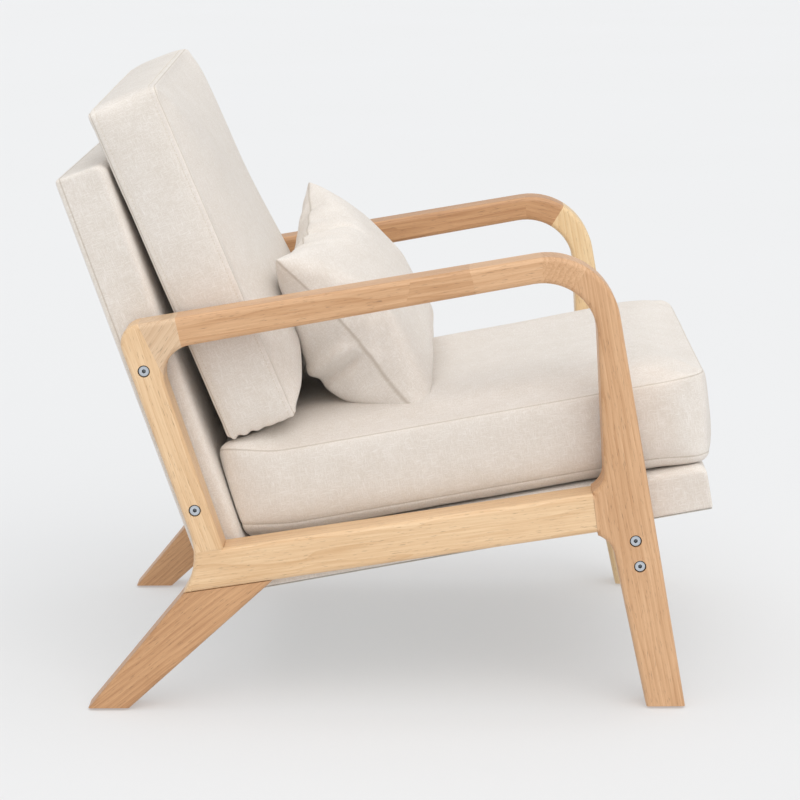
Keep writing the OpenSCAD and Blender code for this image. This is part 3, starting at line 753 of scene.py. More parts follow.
# What each board is cut from: tones, growth-ring pitch, and whether its end grain shows
LUMBER = {
    "rear_leg": (RUSSET, 8 * MM, False),
    "side_rail": (HONEY, 11 * MM, False),
    "rear_upright": (HONEY, 9 * MM, False),
    "corner_block": (SAND, 9 * MM, False),
    "armrest": (TAN, 7 * MM, False),
    "arm_bend_block": (TAN, 6 * MM, True),
    "front_leg": (TAN, 8 * MM, False),
}
FAR_LUMBER = {"armrest": RUSSET, "arm_bend_block": RUSSET, "front_leg": PALE}

# Finger joints of the right armrest: share of its length from the rear, slant, how much lighter the wood gets
ARM_FINGERS = ((0.625, -0.35, -0.12), (0.807, 0.1, 0.40))


def arm_fingers(name, grain, middle_x):
    """Where an armrest's finger joints are, in its own frame."""
    corners = points_of(name) - np.array((middle_x, 0, 0))
    along = corners @ np.array(grain)
    middle = Vector((corners.min(0) + corners.max(0)) / 2)
    return [(middle + grain * (along.min() + share * np.ptp(along) - grain.dot(middle)), slant, lighter)
            for share, slant, lighter in ARM_FINGERS]


def make_board(board, side, bm, middle_x, seats, outer_x):
    """One board of a side frame, with its bolt holes and its wood."""
    name = f"{board}_{side}"
    piece = new_piece(f"wood_{name}", bm, Matrix.Translation((middle_x, 0, 0)))
    sink_counterbores(piece, seats, outer_x)
    flat_faces_first(piece)
    tones, pitch, end_grain = LUMBER[board]
    if side == "left" and board in FAR_LUMBER:
        tones, end_grain = FAR_LUMBER[board], False
    grain = long_axis(name)
    fingers = arm_fingers(name, grain, middle_x) if name == "armrest_right" else ()
    seed = 1.0 + list(LUMBER).index(board) * len(SIDES) + SIDES.index(side)
    set_finish(piece, timber(f"wood_{name}", grain, *tones, seed, pitch, end_grain, fingers))
    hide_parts(name)
    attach(piece, "frame")


build_side_frames()

# ---- Padded pieces ----

SIM_FRAMES = 20  # frames of cloth simulation
PRESSURE = 4.0  # how hard the padding pushes the cloth out
BESIDE = 2.5 * MM  # distance from a seam to the next line of its mesh
WAVE_FADE = 50 * MM  # how far from the seams the slow waves of the cushions' cloth are full
WAVE_DEPTH = 1.8 * MM
PUCKER_FADE = 6 * MM  # how far from a seam its puckers start


def eased(value, low, high):
    """0 below low, 1 above high, and smooth between."""
    t = np.clip((value - low) / (high - low), 0, 1)
    return t * t * (3 - 2 * t)


def ruffle(co, pitch, seed):
    """Smooth noise from -1 to 1 at each point, with a pitch along each axis."""
    pitch = np.broadcast_to(np.asarray(pitch, float), 3)
    return np.array([noise.noise(Vector(p / pitch + seed)) for p in co])


def puckers(near, reach, fade, co, pitch, seed):
    """Puckers that run off from a seam and die away: near is each point's distance from the seam."""
    return np.exp(-np.maximum(near, 0) / reach) * eased(near, 0, fade) * ruffle(co, pitch, seed)


def lattice(low, high, step, seams=()):
    """Places from low to high, about step apart, with a line on each seam and one close on each side."""
    marks = sorted([low, high] + [seam + d for seam in seams for d in (-BESIDE, 0, BESIDE)])
    places = []
    for a, b in zip(marks, marks[1:]):
        places += spaced(a, b, step)[:-1]
    return places + [high]


def box_piece(name, matrix, half, *axes):
    """A box of quads, its points, and which of them lie on its four sides from top to bottom."""
    piece = new_piece(name, box_grid(*axes), matrix)
    flat = coordinates(piece)
    return piece, flat, (np.abs(flat[:, 0]) > half.x - TINY) | (np.abs(flat[:, 1]) > half.y - TINY)


def from_edge(co, half):
    """How far inside the outline of a box or sheet each point lies."""
    return np.minimum(half[0] - np.abs(co[:, 0]), half[1] - np.abs(co[:, 1]))


def at(values, place):
    return np.abs(values - place) < TINY


def inflate(piece, held, pressure=PRESSURE):
    """Blows a closed mesh up with cloth simulation, some of its corners held. Returns each corner's move."""
    start = coordinates(piece)
    group = piece.vertex_groups.new(name="held")
    group.add([int(i) for i in np.flatnonzero(held)], 1.0, "REPLACE")
    blown = piece.modifiers.new("blown", "CLOTH")
    blown.point_cache.frame_end = SIM_FRAMES
    settings = blown.settings
    settings.quality = 5
    settings.use_pressure = True
    settings.uniform_pressure_force = pressure
    settings.vertex_group_mass = "held"
    settings.effector_weights.gravity = 0
    for step in range(1, SIM_FRAMES + 1):
        bpy.context.scene.frame_set(step)
    apply_modifiers(piece)
    piece.vertex_groups.clear()
    bpy.context.scene.frame_set(1)
    moved = coordinates(piece) - start
    set_coordinates(piece, start)
    return moved


def swell(moved, where, crown, fullness):
    """Scales one panel's swelling to its crown. Above 1, fullness flattens the middle, as foam does."""
    size = lengths(moved[where])
    share = size / size.max()
    wanted = crown * (1 - (1 - share) ** fullness)
    moved[where] *= (wanted / np.maximum(size, TINY * MM))[:, None]


def sew(piece, strength, depth):
    """Draws the cloth in along its seams and marks them for the linen's darker seam colour: the thread's tone
    and painted shade. strength is from 0 to 1.
    """
    co = coordinates(piece)
    set_coordinates(piece, co - normals_of(piece) * (depth * strength)[:, None])
    marks = piece.data.attributes.new("seam", "FLOAT", "POINT")
    marks.data.foreach_set("value", strength)


def pressed(co, lie, other, level):
    """Points of one piece pushed out of another's face, which is flat and stands at that height on it."""
    there = np.array((other.inverse @ lie.matrix).to_3x3())
    origin = np.array((other.inverse @ lie.matrix).translation)
    depth = np.maximum(level - (co @ there[2] + origin[2]), 0)
    return co + depth[:, None] * there[2]


def finish_cushion(piece, body, fill, *replaced):
    set_finish(piece, cloth)
    piece.modifiers.new("smooth", "SUBSURF").levels = 1
    apply_modifiers(piece)
    shade(piece.data)
    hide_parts(*replaced)
    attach(piece, body)


# ---- Stitches and zips ----

STITCH_PITCH = 5 * MM
STITCH_LENGTH = 3.4 * MM
STITCH_RADIUS = 0.45 * MM
STITCH_LIFT = 0.1 * MM
STITCH_SINK = 0.5 * MM  # of its ends into the cloth
STITCH_SIDES = 5
# A stitch's rings: share of its length and of its radius
STITCH_RINGS = ((-0.5, 0.35), (-0.3, 1.0), (0.3, 1.0), (0.5, 0.35))

# A zip tape's section: share of its width, and height in mm above the cloth
TAPE_SECTION = ((-0.5, 0.1), (-0.1, 0.7), (0.1, 0.7), (0.5, 0.1), (0.5, -0.9), (-0.5, -0.9))
ZIP_MARGIN = 4 * MM  # of its tape before the first tooth and after the last one
TOOTH_PITCH = 1.5 * MM
TOOTH_STAGGER = 0.7 * MM  # how far to each side the teeth stand in turn
TOOTH_HEIGHT = 1.1 * MM  # of its middle above the cloth
TOOTH = (1.0 * MM, 2.6 * MM, 1.1 * MM)  # sizes along and across the zip and out of the cloth
SLIDER = (9 * MM, 7 * MM, 3.2 * MM)
PULL = (17 * MM, 4 * MM, 1.2 * MM)
SLIDER_PLACE = 7 * MM  # from the zip's start
SLIDER_HEIGHT = 1.6 * MM  # above the cloth, and of the pull above the slider
PULL_PLACE = 10 * MM  # from the slider's middle
CHAMFER_SHARE = 0.22  # of a block's smallest size
ZIP_REACH = 210 * MM  # how far a cushion's zip runs each way from its middle
ZIP_STEP = 10 * MM


def walk(places, outwards, margins, pitch):
    """Even steps along a row of places, between two margins: each one's place, direction and way out."""
    steps = np.diff(places, axis=0)
    sizes = lengths(steps)
    travelled = np.append(0, np.cumsum(sizes))
    for start in np.arange(margins[0], travelled[-1] - margins[1], pitch):
        i = min(int(np.searchsorted(travelled, start, side="right")), len(steps)) - 1
        share = (start - travelled[i]) / sizes[i]
        yield Vector(places[i] + share * steps[i]), Vector(steps[i]).normalized(), Vector(outwards[i])


def add_stitches(name, piece, rows, body):
    """Short stitches along closed rows of a cushion's mesh."""
    bm = bmesh.new()
    for row in rows:
        places, outwards = coordinates(piece)[row], normals_of(piece)[row]
        order = np.argsort(np.arctan2(places[:, 1], places[:, 0]))
        closed = places[np.append(order, order[0])]
        for middle, along, outward in walk(closed, outwards[order], (0, STITCH_PITCH), STITCH_PITCH):
            add_stitch(bm, middle + STITCH_LIFT * outward, along, outward)
    made = new_piece(name, bm, piece.matrix_world, thread_cloth)
    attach(made, body)


def add_stitch(bm, middle, along, outward):
    across = along.cross(outward).normalized()
    rings = []
    for share, size in STITCH_RINGS:
        sink = STITCH_SINK if size < 1 else 0
        centre = middle + share * STITCH_LENGTH * along - sink * outward
        ring = []
        for k in range(STITCH_SIDES):
            turn = math.tau * k / STITCH_SIDES
            out = math.cos(turn) * across + math.sin(turn) * outward
            ring.append(bm.verts.new(centre + size * STITCH_RADIUS * out))
        rings.append(ring)
    tube(bm, rings)


def add_block(bm, middle, along, outward, size):
    """A small block with chamfered edges. size is along it, across it and out of the cloth."""
    axes = (along, outward.cross(along).normalized(), outward)
    made = bmesh.ops.create_cube(bm, size=1)["verts"]
    for vert in made:
        vert.co = middle + sum((axis * length * c for axis, length, c in zip(axes, size, vert.co)), Vector())
    edges = {e for v in made for e in v.link_edges}
    bmesh.ops.bevel(bm, geom=list(edges), offset=min(size) * CHAMFER_SHARE, segments=2, affect="EDGES")


def add_zip(piece, places, outwards, tape_width, body):
    """A closed zip along a row of places on a cushion: tape, teeth, slider and pull."""
    tape = bmesh.new()
    teeth = bmesh.new()
    sections = []
    last = len(places) - 1
    for i, (centre, outward) in enumerate(zip(places, outwards)):
        along = Vector(places[min(i + 1, last)] - places[max(i - 1, 0)]).normalized()
        outward = Vector(outward)
        across = outward.cross(along).normalized()
        sections.append([tape.verts.new(Vector(centre) + side * tape_width * across + lift * MM * outward)
                         for side, lift in TAPE_SECTION])
    for a, b in zip(sections, sections[1:]):
        bridge(tape, a, b)
    tape.faces.new(sections[0])
    tape.faces.new(reversed(sections[-1]))
    face_outwards(tape)
    steps = walk(places, outwards, (ZIP_MARGIN, ZIP_MARGIN), TOOTH_PITCH)
    for k, (place, along, outward) in enumerate(steps):
        side = TOOTH_STAGGER * (1 if k % 2 else -1) * outward.cross(along).normalized()
        add_block(teeth, place + side + TOOTH_HEIGHT * outward, along, outward, TOOTH)
    along = Vector(places[1] - places[0]).normalized()
    outward = Vector(outwards[0])
    slider = Vector(places[0]) + SLIDER_PLACE * along + SLIDER_HEIGHT * outward
    add_block(teeth, slider, along, outward, SLIDER)
    add_block(teeth, slider + PULL_PLACE * along + SLIDER_HEIGHT * outward, along, outward, PULL)
    name = body.replace("_cushion", "") + "_zip"
    for part, bm, finish in (("tape", tape, zip_tape), ("teeth", teeth, zip_teeth)):
        made = new_piece(f"{name}_{part}", bm, piece.matrix_world, finish)
        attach(made, body)
        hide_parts(f"{body}_zip")


def add_side_zip(piece, inside, direction, tape_width, body):
    """A zip across a cushion's side, where rays in one direction from a row of places inside meet it."""
    starts = [Vector((x, *inside)) for x in spaced(-ZIP_REACH, ZIP_REACH, ZIP_STEP)]
    hits = [piece.ray_cast(start, Vector(direction)) for start in starts]
    met = [(place, normal) for hit, place, normal, _ in hits if hit]
    places, outwards = (np.array(column) for column in zip(*met))
    add_zip(piece, places, outwards, tape_width, body)


# ---- Seat cushion: boxing between a top and a bottom seam, over a foam core ----

SEAT_STEP = 10 * MM
SEAT_HEIGHT_STEP = 9 * MM
SEAT_SEAM_LOW = -42 * MM  # heights above the cushion's middle
SEAT_SEAM_HIGH = 58 * MM
SEAT_MARGIN = Vector((5.5, 6, 0)) * MM  # room for its swelling, inside the CAD cushion
SEAT_LIP = 10 * MM  # how far its top panel stands above the CAD cushion's, before it crowns
SEAT_REAR_REACH = 5 * MM  # how far the cushion presses back against the panel
SEAT_FRONT_REACH = 11 * MM  # how far its top edge leans out in front
SEAT_TILT = 8 * MM  # how much higher the cushion's left side is
LOW_BEND = 50 * MM  # how far above and below the low seam its bend reaches
LOW_REAR_RISE = 9 * MM  # of the low seam at the rear
LOW_FRONT_DROP = 8 * MM  # of the low seam at the front
REAR_CORNER_RISE = 13 * MM
PANEL_CLEAR = 2.6 * MM  # crown and clearance of the panel's face


def seat_warp(co):
    """The cushion's box bent to its real shape. Distances are from its middle."""
    x, y, z = co.T.copy()
    rear = eased(y, 230 * MM, 310 * MM)
    front = eased(-y, 230 * MM, 315 * MM)
    side = eased(np.abs(x), 200 * MM, 265 * MM)
    low = np.clip(1 - np.abs(z - SEAT_SEAM_LOW) / LOW_BEND, 0, 1) * (z > -58 * MM)
    z = z + low * (LOW_REAR_RISE * rear - LOW_FRONT_DROP * front)
    z = z + REAR_CORNER_RISE * rear * side * eased(z, 20 * MM, 60 * MM)
    z = z + SEAT_TILT * eased(x, -200 * MM, 270 * MM) * eased(z, -30 * MM, 55 * MM)
    y = y + SEAT_REAR_REACH * eased(y, 200 * MM, 310 * MM)
    y = y - SEAT_FRONT_REACH * front * eased(z, -80 * MM, 40 * MM)
    return np.stack([x, y, z], 1)


def build_seat_cushion():
    half = seat_lie.half - SEAT_MARGIN
    top_z = half.z + SEAT_LIP
    zs = lattice(-half.z, top_z, SEAT_HEIGHT_STEP, (SEAT_SEAM_LOW, SEAT_SEAM_HIGH))
    xs, ys = (spaced(-h, h, SEAT_STEP) for h in half.xy)
    piece, flat, shell = box_piece("seat_cushion", seat_lie.matrix, half, xs, ys, zs)
    tall = Vector((half.x, half.y, (half.z + top_z) / 2))
    lift = np.array((0, 0, (top_z - half.z) / 2))
    start = seat_warp(soften(flat - lift, tall, 30 * MM, 11 * MM, 20 * MM) + lift)
    set_coordinates(piece, start)
    z = flat[:, 2]
    seam = shell & (at(z, SEAT_SEAM_LOW) | at(z, SEAT_SEAM_HIGH))
    top = z > SEAT_SEAM_HIGH + TINY
    boxing = shell & (z > SEAT_SEAM_LOW + TINY) & (z < SEAT_SEAM_HIGH - TINY)
    moved = inflate(piece, seam)
    swell(moved, top, crown=16 * MM, fullness=3.4)
    swell(moved, boxing, crown=7 * MM, fullness=1.5)
    swell(moved, ~(seam | top | boxing), crown=2 * MM, fullness=1.0)
    moved *= (1 - 0.6 * boxing * eased(start[:, 1], 240 * MM, 310 * MM))[:, None]
    from_seam = np.minimum(np.abs(z - SEAT_SEAM_LOW), np.abs(z - SEAT_SEAM_HIGH))
    near = np.where(shell, from_seam, from_edge(start, half))
    lift = 1.6 * MM * puckers(near, 16 * MM, PUCKER_FADE, start, (22 * MM, 22 * MM, 90 * MM), 3.1)
    lift += WAVE_DEPTH * eased(near, 0, WAVE_FADE) * ruffle(start, 120 * MM, 7.7)
    co = start + moved + normals_of(piece) * lift[:, None]
    co = pressed(co, seat_lie, panel_lie, panel_lie.half.z + PANEL_CLEAR)
    co[:, 2] = np.maximum(co[:, 2], -half.z)
    set_coordinates(piece, co)
    sew(piece, seam.astype(float), 1.8 * MM)
    finish_cushion(piece, "seat_cushion", 0.9, "seat_cushion_top", "seat_cushion_boxing",
                   "seat_cushion_bottom", "seat_cushion_piping", "seat_cushion_foam")
    add_side_zip(piece, (0.2, 4 * MM), (0, 1, 0), 22 * MM, "seat_cushion")
    return piece


# ---- Back cushion: stands on its lower edge and leans on the panel ----

BACK_STEP = 9 * MM
BACK_DEPTH_STEP = 4 * MM
BACK_MARGIN = Vector((5, 5, 0)) * MM  # room for its swelling, inside the CAD cushion
BACK_TOP_RISE = 14 * MM  # of its top edge before it swells
BACK_TOP_TILT = 6 * MM  # how much more than that at its left end, and less at its right end
BACK_SEAM = 46 * MM  # distance of its seams in front of and behind its middle
TOPSTITCH = 8 * MM  # distance of the topstitched line from the seam
LOW_EDGE = 14 * MM  # height of the part of its lower edge that is gathered
GATHER_PITCH = 15 * MM  # of the gathers in its lower edge
GATHER_DEPTH = 6 * MM  # at most
GATHER_DRIFT = 4 * MM  # how unevenly they are spaced
FOOT_CLEAR = 2 * MM  # of its lower edge above the CAD cushion's


def gathered(co, low_edge):
    """The gathers that run through a lower edge, as a rise of its points, uneven in place and depth."""
    x, z = co[:, 0], co[:, 2]
    along = z + GATHER_DRIFT * np.sin(z / (19 * MM) + x / (90 * MM))
    ridges = np.abs(np.sin(math.pi * along / GATHER_PITCH))
    uneven = 0.6 - 0.4 * np.sin(z / (21 * MM) + x / (80 * MM) + 3.6)
    return GATHER_DEPTH * uneven * low_edge * (1 - ridges) ** 0.7


def build_back_cushion():
    half = back_lie.half - BACK_MARGIN
    stitched = BACK_SEAM - TOPSTITCH
    zs = lattice(-half.z, half.z, BACK_DEPTH_STEP, (-BACK_SEAM, -stitched, stitched, BACK_SEAM))
    xs, ys = (spaced(-h, h, BACK_STEP) for h in half.xy)
    piece, flat, shell = box_piece("back_cushion", back_lie.matrix, half, xs, ys, zs)
    start = soften(flat, half, 9 * MM, 5 * MM, 5 * MM)
    rise = BACK_TOP_RISE + BACK_TOP_TILT * start[:, 0] / half.x
    start[:, 1] += rise * eased(start[:, 1], 0, half.y)
    z = flat[:, 2]
    seam = shell & at(np.abs(z), BACK_SEAM)
    stitches = [shell & at(z, place) for place in (stitched, -stitched)]
    front = z > BACK_SEAM + TINY
    rear = z < -BACK_SEAM - TINY
    boxing = ~(seam | front | rear)
    low_edge = eased(-start[:, 1], half.y - LOW_EDGE, half.y) * shell
    set_coordinates(piece, start)
    moved = inflate(piece, seam)
    swell(moved, front, crown=23 * MM, fullness=1.7)
    swell(moved, rear, crown=6 * MM, fullness=3.0)
    swell(moved, boxing, crown=7 * MM, fullness=1.5)
    y = start[:, 1]
    moved *= (1 + front * eased(-y, -100 * MM, 200 * MM))[:, None]
    moved *= (1 - 0.3 * boxing * eased(y, 190 * MM, 235 * MM))[:, None]
    moved *= (1 - 0.7 * boxing * low_edge)[:, None]
    near = np.where(shell, np.abs(np.abs(z) - BACK_SEAM), from_edge(start, half))
    lift = 1.4 * MM * puckers(near, 14 * MM, PUCKER_FADE, start, (24 * MM, 24 * MM, 80 * MM), 11.3)
    lift += WAVE_DEPTH * eased(near, 0, WAVE_FADE) * ruffle(start, 110 * MM, 15.9)
    co = start + moved + normals_of(piece) * lift[:, None]
    co[:, 1] += gathered(co, low_edge)
    co[:, 1] = np.maximum(co[:, 1], FOOT_CLEAR - back_lie.half.y)
    co[:, 2] = np.maximum(co[:, 2], -back_lie.half.z)
    set_coordinates(piece, co)
    sew(piece, seam + 0.35 * (stitches[0] | stitches[1]), 1.9 * MM)
    rows = [np.flatnonzero(row) for row in stitches]
    finish_cushion(piece, "back_cushion", 0.85, "back_cushion_front", "back_cushion_boxing",
                   "back_cushion_rear", "back_cushion_piping", "back_cushion_fill")
    add_stitches("back_cushion_stitches", piece, rows, "back_cushion")
    add_side_zip(piece, (-0.15, 0), (0, -1, 0), 20 * MM, "back_cushion")
    return piece


# ---- Pillow: two sheets sewn round a rim, filled with loose fibre ----

PILLOW_SIZE = (462 * MM, 316 * MM)
PILLOW_STEP = 8 * MM
PILLOW_PRESSURE = 3.0
PILLOW_START = 4 * MM  # how far each sheet stands off the rim before it is blown up
PILLOW_SHRINK = (0.8, 0.8, 1)  # share of the simulated move that is kept along each axis
PILLOW_DEPTH = 140 * MM
PILLOW_SHIFT = (0, -2 * MM, 22 * MM)  # of its middle from the CAD pillow's
PILLOW_BELLY = 34 * MM  # how much further it sags behind and below its middle
PILLOW_TURN = 3.0  # degrees, the left end up
PILLOW_SWING = 4.5  # degrees, the left end forward
PILLOW_TWIST = 8 * MM  # how far its upper left and lower right corners stand forward
FOLD_PLACE = -20 * MM  # height of the fold behind its right end
FOLD_DEPTH = 11 * MM
SINK = 3 * MM  # how far at most it presses into the cushions that it lies on


def rested(co, piece, support):
    """A piece's points pushed out of the cushion that it lies on, along the cushion's Z, but for a sink."""
    there = support.matrix_world.inverted() @ piece.matrix_world
    turn = np.array(there.to_3x3())
    depth = np.zeros(len(co))
    for i, (x, y, z) in enumerate(co @ turn.T + np.array(there.translation)):
        hit, place, _, _ = support.ray_cast(Vector((x, y, 1)), Vector((0, 0, -1)))
        if hit:
            depth[i] = max(place.z - z, 0)
    return co + (depth - SINK * (1 - np.exp(-depth / SINK)))[:, None] * turn[2]


def two_sheets(xs, ys, start_depth):
    """Two quad sheets that share a rim, and the numbers of the rim's corners."""
    bm = bmesh.new()
    made = {}
    nx, ny = len(xs), len(ys)

    def corner(u, v, side):
        rim = u in (0, nx - 1) or v in (0, ny - 1)
        key = (u, v, 0 if rim else side)
        if key not in made:
            made[key] = bm.verts.new((xs[u], ys[v], key[2] * start_depth))
        return made[key]

    for side in (1, -1):
        for u in range(nx - 1):
            for v in range(ny - 1):
                ring = [corner(u, v, side), corner(u + 1, v, side), corner(u + 1, v + 1, side),
                        corner(u, v + 1, side)]
                bm.faces.new(ring if side > 0 else reversed(ring))
    bm.verts.index_update()
    rim = [made[key].index for key in made if key[2] == 0]
    return bm, rim


def pillow_ruffles(start, co, half):
    """How far the pillow's cloth stands out in puckers, slow waves and the fold behind its right end."""
    x, y, side = start[:, 0], start[:, 1], np.sign(start[:, 2])
    edge = from_edge(start, half)
    along = np.where(half[0] - np.abs(x) < half[1] - np.abs(y), y, x)
    spots = np.stack([along, edge * 0.25, side * 50 * MM], 1)
    lift = 3.2 * MM * puckers(edge, 30 * MM, 12 * MM, spots, 24 * MM, 21.7)
    lift += 2.5 * MM * eased(edge, 0, 60 * MM) * ruffle(co, 90 * MM, 25.1)
    folded = (side < 0) * eased(-x, half[0] - 120 * MM, half[0] - 50 * MM) * eased(edge, 0, 14 * MM)
    above = y - FOLD_PLACE
    ridge = np.exp(-((above - 11 * MM) / (9 * MM)) ** 2)
    crease = np.exp(-((above + 4 * MM) / (7 * MM)) ** 2)
    return lift + FOLD_DEPTH * folded * (ridge - crease)


def build_pillow(*supports):
    half = [size / 2 for size in PILLOW_SIZE]
    xs, ys = ([-h] + spaced(BESIDE - h, h - BESIDE, PILLOW_STEP) + [h] for h in half)
    bm, rim = two_sheets(xs, ys, PILLOW_START)
    turn = Matrix.Rotation(math.radians(PILLOW_TURN), 4, "Z")
    swing = Matrix.Rotation(math.radians(-PILLOW_SWING), 4, "Y")
    piece = new_piece("pillow", bm, pillow_lie.matrix @ Matrix.Translation(PILLOW_SHIFT) @ turn @ swing)
    start = coordinates(piece)
    co = start + inflate(piece, np.zeros(len(start), bool), PILLOW_PRESSURE) * PILLOW_SHRINK
    co -= (co.min(0) + co.max(0)) / 2
    co[:, 2] *= PILLOW_DEPTH / np.ptp(co[:, 2])
    bulge = (np.maximum(-co[:, 2], 0) / (PILLOW_DEPTH / 2)) ** 0.6
    co[:, 2] -= PILLOW_BELLY * bulge * eased(-co[:, 1], -120 * MM, 40 * MM)
    co[:, 2] += PILLOW_TWIST * (co[:, 0] / half[0]) * (co[:, 1] / half[1])
    set_coordinates(piece, co)
    co += normals_of(piece) * pillow_ruffles(start, co, half)[:, None]
    for support in supports:
        co = rested(co, piece, support)
    set_coordinates(piece, co)
    seam = np.zeros(len(co))
    seam[rim] = 1
    sew(piece, seam, 0.0)
    finish_cushion(piece, "pillow", 0.75, "pillow_front", "pillow_back", "pillow_fill")
    low = [i for i in rim if start[i, 1] < TINY - half[1] and abs(start[i, 0]) < 150 * MM]
    low.sort(key=lambda i: start[i, 0])
    outwards = np.tile((0.0, -1.0, 0.0), (len(low), 1))
    add_zip(piece, coordinates(piece)[low], outwards, 8 * MM, "pillow")


# ---- Back panel and seat base: boards of foam over a frame, in tight cloth ----

PAD_RADIUS = 15 * MM  # of the edges of their top faces, out of which Z points
PANEL_REAR_RADIUS = 5 * MM
BASE_LOW_RADIUS = 1.2 * MM
PANEL_CROWN = 3 * MM
PANEL_REAR_CROWN = 0.5 * MM
PANEL_SEAM = 7 * MM  # distance of the panel's seam from its rear face
PAD_RIM = 24 * MM  # width of the finer mesh along their edges
PAD_FINE_STEP = 4 * MM
PAD_STEP = 11 * MM


def firm_pad(name, lie, low, radii, crowns, seams, *replaced):
    """A rounded box from low to the lie's top. radii and crowns are its top's and its bottom's."""
    half = lie.half
    middle = (low + half.z) / 2
    deep = (half.z - low) / 2
    zs = lattice(-deep, deep, PAD_FINE_STEP, [seam - middle for seam in seams])
    axes = []
    for h in half.xy:
        inner = h - PAD_RIM
        axes.append(spaced(-h, -inner, PAD_FINE_STEP)[:-1] + spaced(-inner, inner, PAD_STEP)
                    + spaced(inner, h, PAD_FINE_STEP)[1:])
    piece, flat, shell = box_piece(name, lie.matrix @ Matrix.Translation((0, 0, middle)), half, *axes, zs)
    top_radius, bottom_radius = radii
    rounding = eased(flat[:, 2], deep - top_radius, deep + 0.4 * top_radius)
    plan = bottom_radius + (top_radius - bottom_radius) * rounding
    co = soften(flat, Vector((half.x, half.y, deep)), plan, top_radius, bottom_radius)
    set_coordinates(piece, co)
    out = normals_of(piece)
    spread = (1 - np.abs(co[:, 0] / half.x) ** 4) * (1 - np.abs(co[:, 1] / half.y) ** 4)
    lift = np.where(co[:, 2] > 0, *crowns) * spread * np.abs(out[:, 2])
    lift += 0.5 * MM * eased(np.abs(out[:, 2]), 0.8, 1.0) * spread * ruffle(co, 70 * MM, 31.3)
    set_coordinates(piece, co + out * lift[:, None])
    sewn = np.zeros(len(co), bool)
    for seam in seams:
        sewn |= shell & at(flat[:, 2], seam - middle)
    sew(piece, sewn.astype(float), 0.8 * MM)
    finish_cushion(piece, "frame", 0.95, *replaced)


def build_firm_pads():
    rear = -panel_lie.half.z
    firm_pad("back_panel", panel_lie, rear, (PAD_RADIUS, PANEL_REAR_RADIUS), (PANEL_CROWN, PANEL_REAR_CROWN),
             (rear + PANEL_SEAM,), "back_front_cover", "back_rear_cover", "back_foam")
    firm_pad("seat_base", base_lie, BASE_LOW_RADIUS - base_lie.half.z, (PAD_RADIUS, BASE_LOW_RADIUS),
             (0.0, 0.0), (), "seat_base_cover", "seat_deck_foam")


seat_cushion = build_seat_cushion()
back_cushion = build_back_cushion()
build_pillow(seat_cushion, back_cushion)
build_firm_pads()

# ---- CAD nodes that keep their shape ----

FINISHES = (
    (timber("wood_stretcher", ACROSS, *TAN, 21.0), ["front_stretcher"]),
    (timber("wood_dowels", ACROSS, *PINE, 23.0), ["frame_dowels"]),
    (bolt_zinc, ["frame_bolts", "barrel_nuts", "stretcher_screws", "link_bolts"]),
    (washer_painted_shade, ["bolt_washers"]),
    (insert_brass, ["threaded_inserts"]),
    (glide_plastic, ["foot_glides"]),
    (spring_wire, ["seat_springs", "spring_clips"]),
    (felt, ["spring_pad"]),
    (dust_cloth, ["dust_cover"]),
    (webbing, ["back_webbing"]),
)
INNER_WOOD = (
    ("across", ACROSS, 27.0, ["seat_front_rail", "seat_cross_rail", "seat_rear_rail", "seat_corner_braces",
                              "back_top_rail", "back_bottom_rail", "link_wedges"]),
    ("along", base_lie.matrix.col[1].xyz, 29.0, ["seat_left_rail", "seat_right_rail"]),
    ("up", panel_lie.matrix.col[1].xyz, 31.0, ["back_left_stile", "back_right_stile"]),
)
WELD_REACH = 0.01 * MM
BACK_BEVEL = 7 * MM  # of the members inside the back panel, which follow its rounded edges
SEAT_BEVEL = 2 * MM
BEVEL_FROM = math.radians(50)  # edges bent less than this stay as they are

for finish, members in FINISHES:
    for node in members:
        set_finish(nodes[node], finish)
for way, grain, seed, members in INNER_WOOD:
    finish = timber(f"wood_inner_{way}", grain, *PINE, seed)
    for node in members:
        set_finish(nodes[node], finish)
        nodes[node].modifiers.new("joined", "WELD").merge_threshold = WELD_REACH
        bevel = nodes[node].modifiers.new("eased_edges", "BEVEL")
        bevel.width = BACK_BEVEL if node.startswith("back_") else SEAT_BEVEL
        bevel.angle_limit = BEVEL_FROM
        bevel.use_clamp_overlap = "stile" not in node

# ---- Stage ----

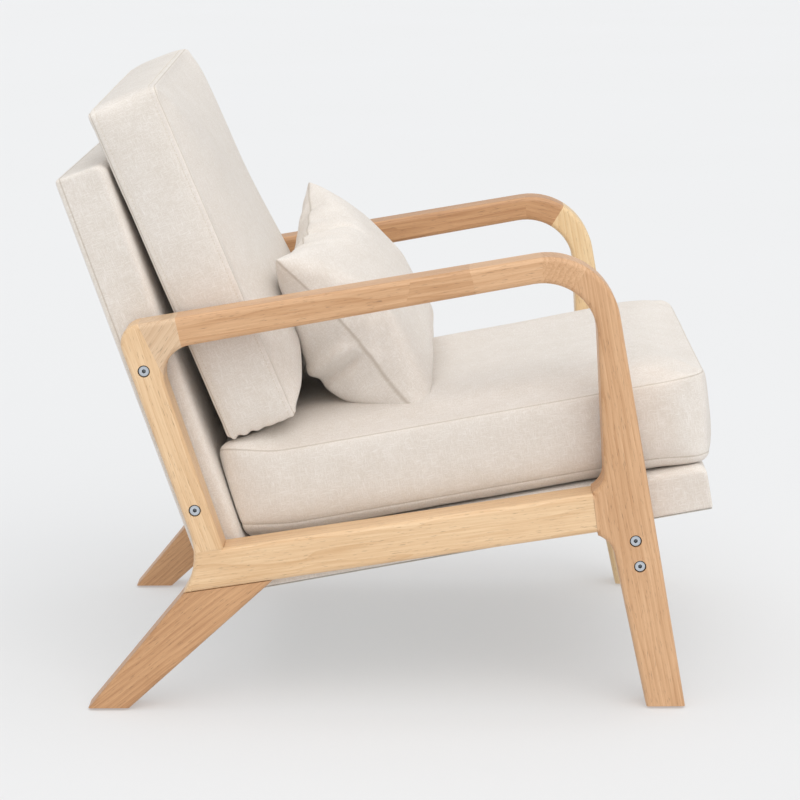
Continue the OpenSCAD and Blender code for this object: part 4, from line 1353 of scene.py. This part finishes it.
CAMERA_PLACE = Vector((-3.723, -0.056, 1.107))
CAMERA_HEADING = 0.695  # degrees to the left of +X
CAMERA_DIP = 11.513  # degrees below the horizon
CAMERA_ROLL = -0.49  # degrees
CAMERA_LENS = 121.5  # mm
CAMERA_REACH = 200  # metres
FLOOR_HALF = 60  # metres
FLOOR_TONES = ((180, 180, 180), (182, 182, 183))
FLOOR_GLOW = (0.98, 0.99, 1.0, 1)
SKY = (0.955, 0.98, 1.0, 1)
SKY_STRENGTH = 0.62


def ray(heading, height):
    """A direction from its heading and its height above the horizon, in degrees."""
    heading, height = math.radians(heading), math.radians(height)
    level = math.cos(height)
    return Vector((level * math.cos(heading), level * math.sin(heading), math.sin(height)))


def build_camera():
    lens = bpy.data.cameras.new("camera")
    lens.lens = CAMERA_LENS
    lens.clip_end = CAMERA_REACH
    camera = linked("camera", lens)
    ahead = ray(CAMERA_HEADING, -CAMERA_DIP)
    right = ahead.cross(Vector((0, 0, 1))).normalized()
    turn = Matrix((right, right.cross(ahead), -ahead)).transposed()
    roll = Matrix.Rotation(math.radians(CAMERA_ROLL), 3, "Z")
    camera.matrix_world = Matrix.Translation(CAMERA_PLACE) @ (turn @ roll).to_4x4()
    bpy.context.scene.camera = camera


def build_floor():
    bm = bmesh.new()
    bmesh.ops.create_grid(bm, x_segments=8, y_segments=8, size=FLOOR_HALF)
    g = Graph("studio_floor")
    g.finish(g.mix(g.cloud(g.place(), 0.8), *FLOOR_TONES), Roughness=0.9, Specular_IOR_Level=0.1,
             Emission_Color=FLOOR_GLOW, Emission_Strength=0.35)
    new_piece("studio_floor", bm, material=g.material, smooth=False)


def add_glow(name, heading, height, spread, strength, colour):
    """Even light from a large soft part of the sky: its middle's heading and height, in degrees."""
    light = bpy.data.lights.new(name, "SUN")
    light.energy = strength
    light.angle = math.radians(spread)
    light.color = colour
    linked(name, light).rotation_euler = ray(heading, height).to_track_quat("Z", "Y").to_euler()


def build_light():
    world = bpy.data.worlds.new("studio")
    bpy.context.scene.world = world
    world.use_nodes = True
    background = world.node_tree.nodes["Background"]
    background.inputs["Color"].default_value = SKY
    background.inputs["Strength"].default_value = SKY_STRENGTH
    add_glow("overhead", heading=200, height=78, spread=80, strength=1.15, colour=(0.99, 0.995, 1.0))
    add_glow("beside", heading=195, height=38, spread=60, strength=0.95, colour=(1.0, 0.96, 0.91))
    bpy.context.scene.view_settings.view_transform = "Standard"


build_camera()
build_floor()
build_light()

bpy.context.view_layer.update()
